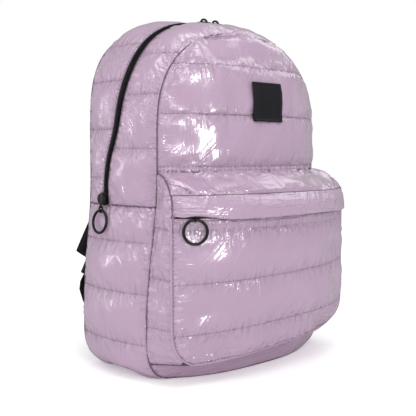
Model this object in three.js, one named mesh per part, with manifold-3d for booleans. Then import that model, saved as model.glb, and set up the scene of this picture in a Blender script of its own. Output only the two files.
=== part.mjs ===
// Quilted puffer backpack, in millimetres: +Z up, the front faces -Y, the base rests on Z = 0.
import * as THREE from 'three';
import { mergeVertices } from 'three/addons/utils/BufferGeometryUtils.js';
import Module from 'manifold-3d';

// Body: a hollow shell of padded panels, sewn round a front seam and a rear seam
const BODY_DEPTH = 124;          // front seam to rear seam
const FRONT_HALF_WIDTH = 136;    // half width at the front seam, above the side seam
const REAR_HALF_WIDTH = 141;
const FRONT_TOP = 408;           // height of the front seam at the crown
const REAR_TOP = 421;
const SHOULDER_HEIGHT = 290;     // where the straight sides turn into the dome
const FRONT_ROUNDNESS = 2.35;    // superellipse power of the dome at the front seam
const REAR_ROUNDNESS = 3;
const SIDE_SWELL = 10;           // how far the gusset swells past its two seams
const CROWN_SWELL = 11;
const FRONT_FLARE = 16;          // how much wider the sides are near the base
const REAR_FLARE = 12;
const FLARE_TOP = 235;           // the flare starts at this height
const FLARE_RUN = 165;           // height over which it grows
const CORNER_RADIUS = 40;        // lower corners, seen from the front: their height
const FRONT_CORNER = 30;         // and how far in they reach, at the front and at the rear
const REAR_CORNER = 44;
const FRONT_SWELL = 41;          // how far the filled front stands out from its seam
const FRONT_FULL_HEIGHT = 200;   // the front is fullest here and below
const BASE_SWELL = 30;           // the same at the base line
const BACK_SWELL = 6;
const SWELL_POWER = 3;           // shape of every swelling panel from side to side

// Padded cloth
const WALL = 2.6;                // thickness of the cloth at a stitch line
const SEAM_GAP = 0.3;            // each panel stays this far back from a seam it shares
const FRONT_PUFF = 6.5;          // how far the padding stands out between stitch lines
const GUSSET_PUFF = 5;
const POCKET_PUFF = 5;
const PUFF_ROUNDNESS = 0.6;      // 1 is a plain arch between two stitch lines, less is fuller
const PUFF_EDGE_POWER = 6;       // how sharply a puff runs out at the sides of its panel
const SIDE_SEAM_HEIGHT = 200.5;  // level seam where the zip ends

// Stitch lines: shares of FRONT_TOP, of SIDE_SEAM_HEIGHT, of FRONT_TOP and of REAR_TOP
const FRONT_STITCHES = [0.605, 0.753, 0.895];
const SIDE_STITCHES = [0.215, 0.505, 0.795];
const FRONT_GUSSET_STITCHES = [0.657, 0.809, 0.927];
const REAR_GUSSET_STITCHES = [0.553, 0.691, 0.827, 0.936];

// Main zip: depth share of its centre line at each turn round the outline
const ZIP_WIDTH = 10;
const ZIP_THICKNESS = 1.6;
const ZIP_RIDGE = 1.4;
const ZIP_PATH = [
  { turn: 1.6, depth: 0.65 },
  { turn: 1.8, depth: 0.64 },
  { turn: 1.9, depth: 0.575 },
  { turn: 2, depth: 0.485 },
  { turn: 2.15, depth: 0.42 },
  { turn: 2.35, depth: 0.385 },
  { turn: 2.6, depth: 0.405 },
  { turn: 2.85, depth: 0.45 },
  { turn: 3, depth: 0.47 },
];

// Front pocket
const POCKET_HALF_WIDTH = 150;
const POCKET_STAND_OFF = 41;     // front seam to pocket seam
const POCKET_SWELL = 36;
const POCKET_FOOT_SWELL = 0.5;   // share of the swell that is left at its lower edge
const POCKET_FULL_RISE = 0.59;   // share of its height at which the swell is full
const POCKET_FOOT = 31;          // height of its lower edge
const POCKET_LEAN = 7;           // its right end hangs this much higher, its left end lower
const POCKET_CORNER = 36;
const POCKET_CORNER_ARC = 0.985; // share of the corner's quarter circle that is used
const POCKET_CREASE = 216;       // upper edge of the zip flap
const FLAP_HEIGHT = 26;          // from there down to the pocket zip
const POCKET_TOP_RISE = 25;      // from there up to where the top meets the front panel
const POCKET_SEAM_FOOT = 22;     // where its side gusset leaves the front seam
const POCKET_STITCHES = [0.2, 0.562, 0.919];          // shares of the front, foot to lip
const POCKET_SIDE_STITCHES = [0.19, 0.49, 0.79];      // shares of the side gusset's height
const FLAP_PUFF = 7;
const FLAP_CLEARANCE = 4;        // room for the pocket zip behind the flap
const LIP_WALL = 1;              // cloth at the lip, before its padding
const LIP_DROP = 1;              // the lip hangs this far below the foot of the pocket zip
const LIP_RAISE = 6.5;           // the lip rides up over the pocket's slider
const LIP_RAISE_WIDTH = 15;
const POCKET_ZIP_WIDTH = 11;
const TOP_SWELL = 5;
const TOP_CORNER_SWELL = 7;
const FLAP_END = 0.25;           // share of the flap's thickness that is left at its two ends
const FLAP_END_POWER = 6;        // how sharply it thins there
const TOP_OUT = new THREE.Vector3(0, -0.6, 0.8);      // the way that the pocket's top swells

// Patch
const PATCH_WIDTH = 50;
const PATCH_HEIGHT = 47;
const PATCH_THICKNESS = 1.8;
const PATCH_LOW = 300;
const PATCH_OFFSET = 2;          // right of the middle
const PATCH_SEAT = 0.5;          // clearance to the cloth behind it

// Zip sliders and their ring pulls
const RING_DIAMETER = 30;
const RING_WIRE = 2.8;
const LINK_LENGTH = 8.6;
const LINK_WIRE = 1.4;
const EYE_WIRE = 1.6;
const HEAD_DIAMETER = 14;
const HEAD_THICKNESS = 3.4;
const SLIDER_LENGTH = 15;
const SLIDER_WIDTH = 9;
const SLIDER_HEIGHT = 2.6;
const POCKET_SLIDER_WIDTH = 8;
const BRIDGE_LENGTH = 12.5;
const BRIDGE_RISE = 4;
const BRIDGE_WIRE = 2.2;
const CROWN_SLIDER_PITCH = 20;
const POCKET_SLIDER_OUT = 128;   // the pocket's slider stands this far left of the middle
const SEAT = 0.3;                // clearance between hard pieces and what carries them

// Shoulder straps, hung from the crown: shares of REAR_HALF_WIDTH, STRAP_REACH, REAR_TOP and
// STRAP_HALF_WIDTH
const STRAP_THICKNESS = 12;
const STRAP_HALF_WIDTH = 35;
const STRAP_REACH = 40;          // furthest the straps stand back from the rear seam
const STRAP_PATH = [
  { out: 0.27, back: 0.2, up: 0.935, wide: 0.8 },
  { out: 0.31, back: 0.62, up: 0.86, wide: 0.86 },
  { out: 0.37, back: 0.92, up: 0.74, wide: 0.94 },
  { out: 0.42, back: 1, up: 0.6, wide: 1 },
  { out: 0.5, back: 0.93, up: 0.45, wide: 1 },
  { out: 0.79, back: 0.76, up: 0.285, wide: 1 },
];
const WEBBING_WIDTH = 25;
const WEBBING_THICKNESS = 2;
const WEBBING_FOOT = 36;         // height of its lower end on the back panel
const WEBBING_OUT = 0.86;        // share of the back panel's half width at its lower end
const BUCKLE_WIDTH = 34;
const BUCKLE_HEIGHT = 22;
const BUCKLE_THICKNESS = 4.5;
const BUCKLE_BAR = 4;
const BUCKLE_SLACK = 1;          // room beside the webbing in each slot

const FRONT_SEAM_Y = -BODY_DEPTH / 2;
const REAR_SEAM_Y = BODY_DEPTH / 2;
const POCKET_SEAM_Y = FRONT_SEAM_Y - POCKET_STAND_OFF;
const POCKET_LIP = POCKET_CREASE - FLAP_HEIGHT;
const POCKET_BACK = POCKET_CREASE + POCKET_TOP_RISE;
const CROWN_TURN = 3;
const CROWN_STEP = 0.045;        // turn from the front panel's last row to the crown
const GUSSET_MIDDLES = [0.2, 0.8];      // depth shares midway across the front and rear gussets
const QUARTER = Math.PI / 2;
const MIRROR = new THREE.Vector3(-1, 1, 1);

const LILAC = new THREE.Color('#b79fb5');
const BLACK = new THREE.Color('#1b1a1e');
const cloth = { color: LILAC, roughness: 0.25, metalness: 0 };
const blackCloth = { color: BLACK, roughness: 0.8, metalness: 0 };
const blackTrim = { color: BLACK, roughness: 0.45, metalness: 0 };
const blackMetal = { color: BLACK, roughness: 0.35, metalness: 0.8 };

const wasm = await Module();
wasm.setup();

const mix = THREE.MathUtils.lerp;
const clamp = THREE.MathUtils.clamp;

// A list of evenly spaced values, both ends included
function spread(from, to, steps) {
  return Array.from({ length: steps + 1 }, (_, i) => mix(from, to, i / steps));
}

// A smooth value from a short table
function readTable(rows, key, column, at) {
  const last = rows.length - 1;
  const found = rows.findIndex((row) => row[key] >= at);
  const i = clamp(found < 0 ? last : found, 1, last);
  const [before, low, high, after] = [i - 2, i - 1, i, i + 1].map((k) => rows[clamp(k, 0, last)]);
  const t = clamp((at - low[key]) / (high[key] - low[key]), 0, 1);
  const slope = (a, b) => (b[column] - a[column]) / (b[key] - a[key]) * (high[key] - low[key]);
  const m0 = slope(before, high);
  const m1 = slope(low, after);
  const drop = low[column] - high[column];
  return low[column] + m0 * t + (-3 * drop - 2 * m0 - m1) * t ** 2 + (2 * drop + m0 + m1) * t ** 3;
}

// Swell of a filled panel from side to side, 1 in the middle and 0 at its seams
const swellAcross = (share) => 1 - Math.abs(share) ** SWELL_POWER;

// Padding between the two stitch lines round a place: 0 on a line and 1 midway
function puffBetween(lines, at) {
  const above = lines.findIndex((line) => line > at);
  if (above < 1) return 0;
  const share = (at - lines[above - 1]) / (lines[above] - lines[above - 1]);
  return Math.sin(Math.PI * share) ** PUFF_ROUNDNESS;
}

// The body's outline at a depth share: 0 at the front seam and 1 at the rear seam
const seamArch = (depth) => 4 * depth * (1 - depth);
const domeTop = (depth) => mix(FRONT_TOP, REAR_TOP, depth) + CROWN_SWELL * seamArch(depth);
const domePower = (depth) => mix(FRONT_ROUNDNESS, REAR_ROUNDNESS, depth);
function halfWidthAt(height, depth) {
  const upper = mix(FRONT_HALF_WIDTH, REAR_HALF_WIDTH, depth) + SIDE_SWELL * seamArch(depth);
  const down = clamp((FLARE_TOP - height) / FLARE_RUN, 0, 1);
  return upper + mix(FRONT_FLARE, REAR_FLARE, depth) * THREE.MathUtils.smoothstep(down, 0, 1);
}

// Turn runs round the outline: 0 to 1 the left lower corner, 1 to 2 the left side, 2 to 3 the
// left half of the dome, and then the same down the right side to 6
function outlinePoint(turn, depth) {
  if (turn > CROWN_TURN) return outlinePoint(2 * CROWN_TURN - turn, depth).multiply(MIRROR);
  let across;
  let height;
  if (turn < 1) {
    const corner = mix(FRONT_CORNER, REAR_CORNER, depth);
    across = halfWidthAt(0, depth) - corner * (1 - Math.sin(turn * QUARTER));
    height = CORNER_RADIUS * (1 - Math.cos(turn * QUARTER));
  } else if (turn < 2) {
    height = mix(CORNER_RADIUS, SHOULDER_HEIGHT, turn - 1);
    across = halfWidthAt(height, depth);
  } else {
    const power = 2 / domePower(depth);
    const angle = (turn - 2) * QUARTER;
    across = halfWidthAt(SHOULDER_HEIGHT, depth) * Math.max(Math.cos(angle), 0) ** power;
    height = mix(SHOULDER_HEIGHT, domeTop(depth), Math.sin(angle) ** power);
  }
  return new THREE.Vector3(-across, mix(FRONT_SEAM_Y, REAR_SEAM_Y, depth), height);
}

// The turn at which the outline reaches a height, on the left
function turnAt(height, depth) {
  if (height < CORNER_RADIUS) return Math.acos(1 - height / CORNER_RADIUS) / QUARTER;
  if (height < SHOULDER_HEIGHT) {
    return 1 + (height - CORNER_RADIUS) / (SHOULDER_HEIGHT - CORNER_RADIUS);
  }
  const rise = (height - SHOULDER_HEIGHT) / (domeTop(depth) - SHOULDER_HEIGHT);
  return 2 + Math.asin(rise ** (domePower(depth) / 2)) / QUARTER;
}

// Outward normal of a surface given by a function of two values
function surfaceNormal(surface, a, b, step) {
  const alongA = surface(a + step, b).sub(surface(a - step, b));
  const alongB = surface(a, b + step).sub(surface(a, b - step));
  return alongA.cross(alongB).normalize();
}
const outlineNormal = (turn, depth) => surfaceNormal(outlinePoint, turn, depth, 0.004);

// A closed body between an outer and an inner sheet, each a grid of rows by columns
function shellGeometry(rowValues, columnValues, outer, inner) {
  const rows = rowValues.length;
  const columns = columnValues.length;
  const positions = [];
  const index = [];
  for (const sheet of [outer, inner]) {
    for (const row of rowValues) {
      for (const column of columnValues) positions.push(...sheet(row, column).toArray());
    }
  }
  const at = (sheet, row, column) => (sheet * rows + row) * columns + column;
  const quad = (a, b, c, d) => index.push(a, b, c, a, c, d);
  for (let r = 0; r < rows - 1; r += 1) {
    for (let c = 0; c < columns - 1; c += 1) {
      quad(at(0, r, c), at(0, r, c + 1), at(0, r + 1, c + 1), at(0, r + 1, c));
      quad(at(1, r, c), at(1, r + 1, c), at(1, r + 1, c + 1), at(1, r, c + 1));
    }
    quad(at(0, r, 0), at(0, r + 1, 0), at(1, r + 1, 0), at(1, r, 0));
    quad(at(0, r + 1, columns - 1), at(0, r, columns - 1), at(1, r, columns - 1),
      at(1, r + 1, columns - 1));
  }
  for (let c = 0; c < columns - 1; c += 1) {
    quad(at(0, 0, c + 1), at(0, 0, c), at(1, 0, c), at(1, 0, c + 1));
    quad(at(0, rows - 1, c), at(0, rows - 1, c + 1), at(1, rows - 1, c + 1), at(1, rows - 1, c));
  }
  const geometry = new THREE.BufferGeometry();
  geometry.setAttribute('position', new THREE.Float32BufferAttribute(positions, 3));
  geometry.setIndex(signedVolume(positions, index) < 0 ? index.reverse() : index);
  return geometry;
}

function signedVolume(positions, index) {
  const corner = (i) => new THREE.Vector3().fromArray(positions, 3 * index[i]);
  let total = 0;
  for (let i = 0; i < index.length; i += 3) {
    total += corner(i).dot(corner(i + 1).cross(corner(i + 2)));
  }
  return total / 6;
}

// Solids for joining
function weld(geometry) {
  const bare = geometry.clone();
  bare.deleteAttribute('normal');
  bare.deleteAttribute('uv');
  return mergeVertices(bare, 1e-4);
}
function toSolid(geometry) {
  const welded = weld(geometry);
  const vertProperties = new Float32Array(welded.attributes.position.array);
  const triVerts = new Uint32Array(welded.index.array);
  return new wasm.Manifold(new wasm.Mesh({ numProp: 3, vertProperties, triVerts }));
}
function joined(geometries) {
  const mesh = geometries.map(toSolid).reduce((sum, solid) => sum.add(solid)).getMesh();
  const geometry = new THREE.BufferGeometry();
  geometry.setAttribute('position', new THREE.Float32BufferAttribute(mesh.vertProperties, 3));
  geometry.setIndex([...mesh.triVerts]);
  return geometry;
}

const backpack = new THREE.Group();
function addPiece(name, geometry, look, parent = backpack) {
  const piece = new THREE.Mesh(weld(geometry), new THREE.MeshStandardMaterial(look));
  piece.name = name;
  parent.add(piece);
  return piece;
}

// Rows that neighbouring panels share along their seams
const SIDE_SEAM_TURN = turnAt(SIDE_SEAM_HEIGHT, 0);
const BAND_TURN = turnAt(POCKET_SEAM_FOOT, 0);
const seamTurns = {
  band: spread(0, BAND_TURN, 3),
  side: [...spread(BAND_TURN, 1, 2), ...spread(1, SIDE_SEAM_TURN, 10).slice(1)],
  shoulder: spread(SIDE_SEAM_TURN, 2, 6),
  dome: spread(2, CROWN_TURN - CROWN_STEP, 12),
};
const lowerTurns = [...seamTurns.band, ...seamTurns.side.slice(1)];
const upperTurns = [...seamTurns.shoulder, ...seamTurns.dome.slice(1)];
const archTurns = [
  ...upperTurns,
  CROWN_TURN,
  ...upperTurns.map((turn) => 2 * CROWN_TURN - turn).reverse(),
];
const ACROSS = spread(-1, 1, 12);
const BASE_DEPTHS = spread(0, 1, 6);

// Front and back panels: a row runs from side to side at the height of its turn
const frontRowTop = outlinePoint(CROWN_TURN - CROWN_STEP, 0).z - SEAM_GAP;
function frontSwellAt(height) {
  const rise = clamp((height - FRONT_FULL_HEIGHT) / (frontRowTop - FRONT_FULL_HEIGHT), 0, 1);
  const fall = 1 - clamp(height / FRONT_FULL_HEIGHT, 0, 1);
  return Math.sqrt(1 - rise ** 3) * mix(FRONT_SWELL, BASE_SWELL, fall ** 2);
}
const frontLines = [...FRONT_STITCHES.map((share) => share * FRONT_TOP), FRONT_TOP];
const edgeFade = (share) => 1 - Math.abs(share) ** PUFF_EDGE_POWER;
function frontPuff(share, height) {
  return FRONT_PUFF * puffBetween(frontLines, height) * edgeFade(share);
}
function frontSheet(turn, share, inset) {
  const edge = outlinePoint(turn, 0);
  if (inset > 0) edge.addScaledVector(outlineNormal(turn, 0).setY(0).normalize(), -inset);
  const swell = frontSwellAt(edge.z) * swellAcross(share);
  const puff = inset > SEAM_GAP ? 0 : frontPuff(share, edge.z);
  const forward = swell + puff - Math.max(inset - SEAM_GAP, 0);
  return new THREE.Vector3(-share * edge.x, FRONT_SEAM_Y - forward, edge.z);
}
function frontPiece(turns) {
  return shellGeometry(turns, ACROSS,
    (turn, share) => frontSheet(turn, share, SEAM_GAP),
    (turn, share) => frontSheet(turn, share, SEAM_GAP + WALL));
}
function shortened(turns, lower, upper) {
  const rows = [...turns];
  rows[0] += lower;
  rows[rows.length - 1] -= upper;
  return rows;
}
const ROW_GAP = 0.006;
addPiece('bottom_gusset', frontPiece(shortened(seamTurns.band, 0, ROW_GAP)), cloth);
addPiece('front_panel',
  frontPiece(shortened([...seamTurns.side, ...upperTurns.slice(1)], ROW_GAP, 0)), cloth);

function backSheet(turn, share, inset) {
  const edge = outlinePoint(turn, 1);
  edge.addScaledVector(outlineNormal(turn, 1).setY(0).normalize(), -inset);
  const out = BACK_SWELL * swellAcross(share) * clamp(edge.z / CORNER_RADIUS, 0, 1);
  const back = out * Math.sqrt(clamp((REAR_TOP - edge.z) / CORNER_RADIUS, 0, 1));
  return new THREE.Vector3(-share * edge.x, REAR_SEAM_Y + back - inset + SEAM_GAP, edge.z);
}
addPiece('back_panel', shellGeometry([...lowerTurns, ...upperTurns.slice(1)], spread(-1, 1, 4),
  (turn, share) => backSheet(turn, share, SEAM_GAP),
  (turn, share) => backSheet(turn, share, SEAM_GAP + WALL)), blackCloth);

// Gusset panels: a row runs from front to rear between two depth shares
const GAP_SHARE = SEAM_GAP / BODY_DEPTH;
const WALL_SHARE = WALL / BODY_DEPTH;
function zipDepth(turn) {
  return readTable(ZIP_PATH, 'turn', 'depth', Math.min(turn, 2 * CROWN_TURN - turn));
}
const zipHalf = ZIP_WIDTH / 2 / BODY_DEPTH;
function gussetPiece(turns, shares, depthRange, lines, mitres) {
  const outer = (turn, share) => {
    const [from, to] = depthRange(turn);
    const depth = mix(from, to, share);
    const edge = Math.sqrt(Math.max(Math.sin(Math.PI * share), 0));
    const puff = GUSSET_PUFF * puffBetween(lines, turn) * edge;
    return outlinePoint(turn, depth).addScaledVector(outlineNormal(turn, depth), puff);
  };
  const inner = (turn, share) => {
    const [from, to] = depthRange(turn);
    const depth = mix(from + mitres[0] * WALL_SHARE, to - mitres[1] * WALL_SHARE, share);
    const inward = outlineNormal(turn, depth).setY(0).normalize();
    return outlinePoint(turn, depth).addScaledVector(inward, -WALL);
  };
  return shellGeometry(turns, shares, outer, inner);
}
function archLines(shares, top, depth) {
  const left = shares.map((share) => turnAt(share * top, depth));
  const ends = [SIDE_SEAM_TURN, ...left];
  return [...ends, ...ends.map((turn) => 2 * CROWN_TURN - turn).reverse()];
}
const openArch = [...archTurns];
openArch[0] += ROW_GAP;
openArch[openArch.length - 1] -= ROW_GAP;
addPiece('front_gusset', gussetPiece(openArch, spread(0, 1, 5),
  (turn) => [GAP_SHARE, zipDepth(turn) - zipHalf - GAP_SHARE],
  archLines(FRONT_GUSSET_STITCHES, FRONT_TOP, GUSSET_MIDDLES[0]), [1, 0]), cloth);
addPiece('rear_gusset', gussetPiece(openArch, spread(0, 1, 5),
  (turn) => [zipDepth(turn) + zipHalf + GAP_SHARE, 1 - GAP_SHARE],
  archLines(REAR_GUSSET_STITCHES, REAR_TOP, GUSSET_MIDDLES[1]), [0, 1]), cloth);

const sideTurns = shortened(lowerTurns, 0, ROW_GAP);
const sideLines = [...SIDE_STITCHES.map((share) => turnAt(share * SIDE_SEAM_HEIGHT, 0.5)),
  SIDE_SEAM_TURN];
const sideRange = () => [GAP_SHARE, 1 - GAP_SHARE];
addPiece('side_panel_left',
  gussetPiece(sideTurns, BASE_DEPTHS, sideRange, sideLines, [1, 1]), cloth);
addPiece('side_panel_right',
  gussetPiece(sideTurns.map((turn) => 2 * CROWN_TURN - turn), BASE_DEPTHS, sideRange,
    sideLines.map((turn) => 2 * CROWN_TURN - turn).reverse(), [1, 1]), cloth);

// Base panel, flat on the ground
function baseSheet(share, depth, height) {
  const side = outlinePoint(0, depth);
  const narrow = height + 2 * SEAM_GAP;
  const front = FRONT_SEAM_Y - frontSwellAt(0) * swellAcross(share) + height + 2 * SEAM_GAP;
  const rear = REAR_SEAM_Y - height - 2 * SEAM_GAP;
  return new THREE.Vector3(-share * (side.x + narrow), mix(front, rear, depth), height);
}
addPiece('base_panel', shellGeometry(ACROSS, BASE_DEPTHS,
  (share, depth) => baseSheet(share, depth, 0),
  (share, depth) => baseSheet(share, depth, WALL)), blackCloth);

// Main zip: one band of tape with a raised ridge of teeth down its middle
const zipTurns = shortened(archTurns, ROW_GAP, ROW_GAP);
const ZIP_ACROSS = [-1, -0.32, -0.2, 0.2, 0.32, 1];
function zipSheet(turn, across, lift) {
  const depth = zipDepth(turn) + across * zipHalf;
  const ridge = Math.abs(across) < 0.25 ? ZIP_RIDGE : 0;
  const point = outlinePoint(turn, depth);
  const out = outlineNormal(turn, depth).setY(0).normalize();
  return point.addScaledVector(out, lift < 0 ? lift : ridge);
}
addPiece('main_zip', shellGeometry(zipTurns, ZIP_ACROSS,
  (turn, across) => zipSheet(turn, across, 0),
  (turn, across) => zipSheet(turn, across, -ZIP_THICKNESS)), blackTrim);

// Front pocket: its surface at a share of its width and a height
function pocketHalfWidth(height) {
  const drop = clamp((POCKET_FOOT + POCKET_CORNER - height) / POCKET_CORNER, 0, 1);
  const arc = Math.sqrt(1 - (POCKET_CORNER_ARC * drop) ** 2);
  return POCKET_HALF_WIDTH - POCKET_CORNER * (1 - arc);
}
function pocketSwellAt(height) {
  const share = (height - POCKET_FOOT) / (POCKET_CREASE - POCKET_FOOT);
  const full = Math.sin(QUARTER * clamp(share / POCKET_FULL_RISE, 0, 1));
  return POCKET_SWELL * mix(POCKET_FOOT_SWELL, 1, full);
}
const pocketStitches = POCKET_STITCHES.map((share) => mix(POCKET_FOOT, POCKET_LIP, share));
const pocketLines = [POCKET_FOOT, ...pocketStitches];
function pocketSheet(height, share, lift, narrow = SEAM_GAP) {
  const out = pocketSwellAt(height) * swellAcross(share) + lift;
  const across = share * (pocketHalfWidth(height) - narrow);
  const low = clamp((pocketStitches[1] - height) / (pocketStitches[1] - POCKET_FOOT), 0, 1);
  return new THREE.Vector3(across, POCKET_SEAM_Y - out, height + POCKET_LEAN * share * low ** 2);
}
const pocketHeights = [
  ...spread(POCKET_FOOT, pocketStitches[0], 4),
  ...spread(pocketStitches[0], pocketStitches[1], 5).slice(1),
  ...spread(pocketStitches[1], pocketStitches[2], 5).slice(1),
  POCKET_LIP,
];
function pocketPuff(height, share) {
  return POCKET_PUFF * puffBetween(pocketLines, height) * edgeFade(share);
}
addPiece('pocket_front', shellGeometry(pocketHeights, ACROSS,
  (height, share) => pocketSheet(height, share, pocketPuff(height, share)),
  (height, share) => pocketSheet(height, share, -WALL, SEAM_GAP + WALL)), cloth);

const zipFoot = POCKET_LIP + SEAM_GAP;
addPiece('pocket_zip', shellGeometry([zipFoot, zipFoot + POCKET_ZIP_WIDTH], ACROSS,
  (height, share) => pocketSheet(height, share, 0),
  (height, share) => pocketSheet(height, share, -ZIP_THICKNESS, SEAM_GAP + WALL)), blackTrim);

// Flap: its rows hang from the lip up to the end of the pocket zip, and then to the crease
const FLAP_STEP = 0.8;
const FLAP_ROLL = 0.1;           // how far round its roll the flap starts at the lip
const flapFoot = zipFoot + POCKET_ZIP_WIDTH + SEAM_GAP + FLAP_STEP;
const flapTop = POCKET_CREASE - SEAM_GAP;
function lipHeight(across) {
  const away = (across + POCKET_SLIDER_OUT) / LIP_RAISE_WIDTH;
  return POCKET_LIP - LIP_DROP + LIP_RAISE * Math.exp(-(away ** 2));
}
const FLAP_ROWS = [
  { backed: false, height: (lip) => lip },
  { backed: false, height: (lip) => mix(lip, flapFoot, 0.2) },
  { backed: false, height: (lip) => mix(lip, flapFoot, 0.5) },
  { backed: false, height: () => flapFoot - FLAP_STEP },
  { backed: true, height: () => flapFoot },
  { backed: true, height: () => mix(flapFoot, flapTop, 0.5) },
  { backed: true, height: () => flapTop },
];
function flapSheet(row, share, outside) {
  const lip = lipHeight(share * POCKET_HALF_WIDTH);
  const height = row.height(lip);
  if (!outside && row.backed) return pocketSheet(height, share, -WALL, SEAM_GAP + WALL);
  if (!outside) return pocketSheet(height, share, FLAP_CLEARANCE);
  const rise = clamp((height - lip) / (flapTop - lip), 0, 1);
  const round = Math.sqrt(Math.max(Math.sin(Math.PI * mix(FLAP_ROLL, 1, rise)), 0));
  const standOff = (FLAP_CLEARANCE + LIP_WALL) * (1 - rise);
  const end = 1 - (1 - FLAP_END) * Math.abs(share) ** FLAP_END_POWER;
  return pocketSheet(height, share, standOff + FLAP_PUFF * round * end);
}
addPiece('pocket_flap', shellGeometry(FLAP_ROWS, spread(-1, 1, 18),
  (row, share) => flapSheet(row, share, true),
  (row, share) => flapSheet(row, share, false)), cloth);

// Pocket top: from the flap's crease up and back to the front panel
const TOP_BACK_GAP = 4 * SEAM_GAP;
const TOP_BACK_SLOPE = 0.4;      // its cut edge follows the slope of the front panel
function pocketTopSheet(rise, share, depthIn) {
  const front = pocketSheet(POCKET_CREASE, share, -depthIn, SEAM_GAP + depthIn);
  front.z += SEAM_GAP;
  const edge = outlinePoint(turnAt(POCKET_BACK, 0), 0);
  const back = new THREE.Vector3(-share * (edge.x + SEAM_GAP + depthIn), 0, POCKET_BACK - depthIn);
  back.y = FRONT_SEAM_Y - frontSwellAt(POCKET_BACK) * swellAcross(share);
  back.y -= frontPuff(share, POCKET_BACK) + TOP_BACK_GAP + depthIn * TOP_BACK_SLOPE;
  const point = front.lerp(back, rise);
  const arch = Math.sin(Math.PI * rise);
  const swell = mix(TOP_SWELL, TOP_CORNER_SWELL, Math.abs(share) ** 4) * arch;
  point.addScaledVector(TOP_OUT, swell);
  point.z -= TOP_OUT.z * depthIn * arch;
  return point;
}
const TOP_RISES = spread(0, 1, 5);
addPiece('pocket_top', shellGeometry(TOP_RISES, ACROSS,
  (rise, share) => pocketTopSheet(rise, share, 0),
  (rise, share) => pocketTopSheet(rise, share, WALL)), cloth);

// Pocket side gussets: a row runs from the pocket seam back to the front seam
const pocketRise = (height) => (height - POCKET_FOOT) / (POCKET_CREASE - POCKET_FOOT);
const SIDE_TRIM = 0.012;         // shares by which the gusset stops short of floor and top
const SIDE_TOP_TRIM = 1.4;       // wall thicknesses by which its inside stops below the top
const SIDE_BACK_MITRE = 0.9;     // wall thicknesses by which its inside stops before the front
const SIDE_PUFF = 0.7 * POCKET_PUFF;
const SIDE_TOP_POWER = 12;       // only the highest stretch follows the swell of the pocket top
const sideRises = [SIDE_TRIM, ...pocketHeights.slice(1).map(pocketRise),
  ...spread(pocketRise(POCKET_LIP), 1 - SIDE_TRIM, 3).slice(1)];
const pocketSideLines = [0, ...POCKET_SIDE_STITCHES, 1 + POCKET_SIDE_STITCHES[0]];
function pocketSideSheet(rise, back, depthIn, side) {
  const trim = depthIn / (POCKET_CREASE - POCKET_FOOT);
  const at = mix(trim, 1 - SIDE_TOP_TRIM * trim, rise);
  const low = pocketSheet(mix(POCKET_FOOT, POCKET_CREASE, at), side, 0, depthIn);
  low.x *= side;
  const seamHeight = mix(POCKET_SEAM_FOOT, POCKET_BACK, at);
  const high = outlinePoint(turnAt(seamHeight, 0), 0).multiply(MIRROR);
  high.x -= depthIn;
  high.y -= 2 * SEAM_GAP + SIDE_BACK_MITRE * depthIn;
  low.y += 3 * SEAM_GAP + depthIn;
  const point = low.lerp(high, back);
  const arch = Math.sin(Math.PI * back);
  if (depthIn === 0) point.x += SIDE_PUFF * puffBetween(pocketSideLines, at) * arch;
  return point.addScaledVector(TOP_OUT, TOP_CORNER_SWELL * at ** SIDE_TOP_POWER * arch);
}
for (const [name, mirror] of [['pocket_side_right', 1], ['pocket_side_left', -1]]) {
  const placed = (point) => point.setX(point.x * mirror);
  addPiece(name, shellGeometry(sideRises, TOP_RISES,
    (rise, back) => placed(pocketSideSheet(rise, back, 0, mirror)),
    (rise, back) => placed(pocketSideSheet(rise, back, WALL, mirror))), cloth);
}

// Pocket floor: from the lower edge back to the front panel, of single cloth
const FLOOR_WALL = 0.7 * WALL;
function pocketFloorSheet(back, share, up) {
  const front = pocketSheet(POCKET_FOOT, share, 0);
  const edge = outlinePoint(BAND_TURN, 0);
  const rear = new THREE.Vector3(-share * edge.x, 0, POCKET_SEAM_FOOT);
  rear.y = FRONT_SEAM_Y - frontSwellAt(POCKET_SEAM_FOOT) * swellAcross(share) - 2 * SEAM_GAP;
  const point = front.lerp(rear, back);
  point.z += up - 2 * SEAM_GAP;
  return point;
}
addPiece('pocket_floor', shellGeometry(TOP_RISES, ACROSS,
  (back, share) => pocketFloorSheet(back, share, -FLOOR_WALL),
  (back, share) => pocketFloorSheet(back, share, 0)), cloth);

// Patch: a flat plate that follows the swell of the front
const patchHeights = spread(PATCH_LOW, PATCH_LOW + PATCH_HEIGHT, 4);
const patchAcross = spread(-1, 1, 4);
function frontSurface(x, height) {
  const half = -outlinePoint(turnAt(height, 0), 0).x;
  const share = x / half;
  return FRONT_SEAM_Y - frontSwellAt(height) * swellAcross(share) - frontPuff(share, height);
}
function patchSheet(height, across, lift) {
  const x = PATCH_OFFSET + across * PATCH_WIDTH / 2;
  const low = frontSurface(x, PATCH_LOW);
  const high = frontSurface(x, PATCH_LOW + PATCH_HEIGHT);
  const share = (height - PATCH_LOW) / PATCH_HEIGHT;
  const y = Math.min(mix(low, high, share), frontSurface(x, height));
  return new THREE.Vector3(x, y - lift, height);
}
addPiece('patch', shellGeometry(patchHeights, patchAcross,
  (height, across) => patchSheet(height, across, PATCH_SEAT + PATCH_THICKNESS),
  (height, across) => patchSheet(height, across, PATCH_SEAT)), blackTrim);

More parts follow.
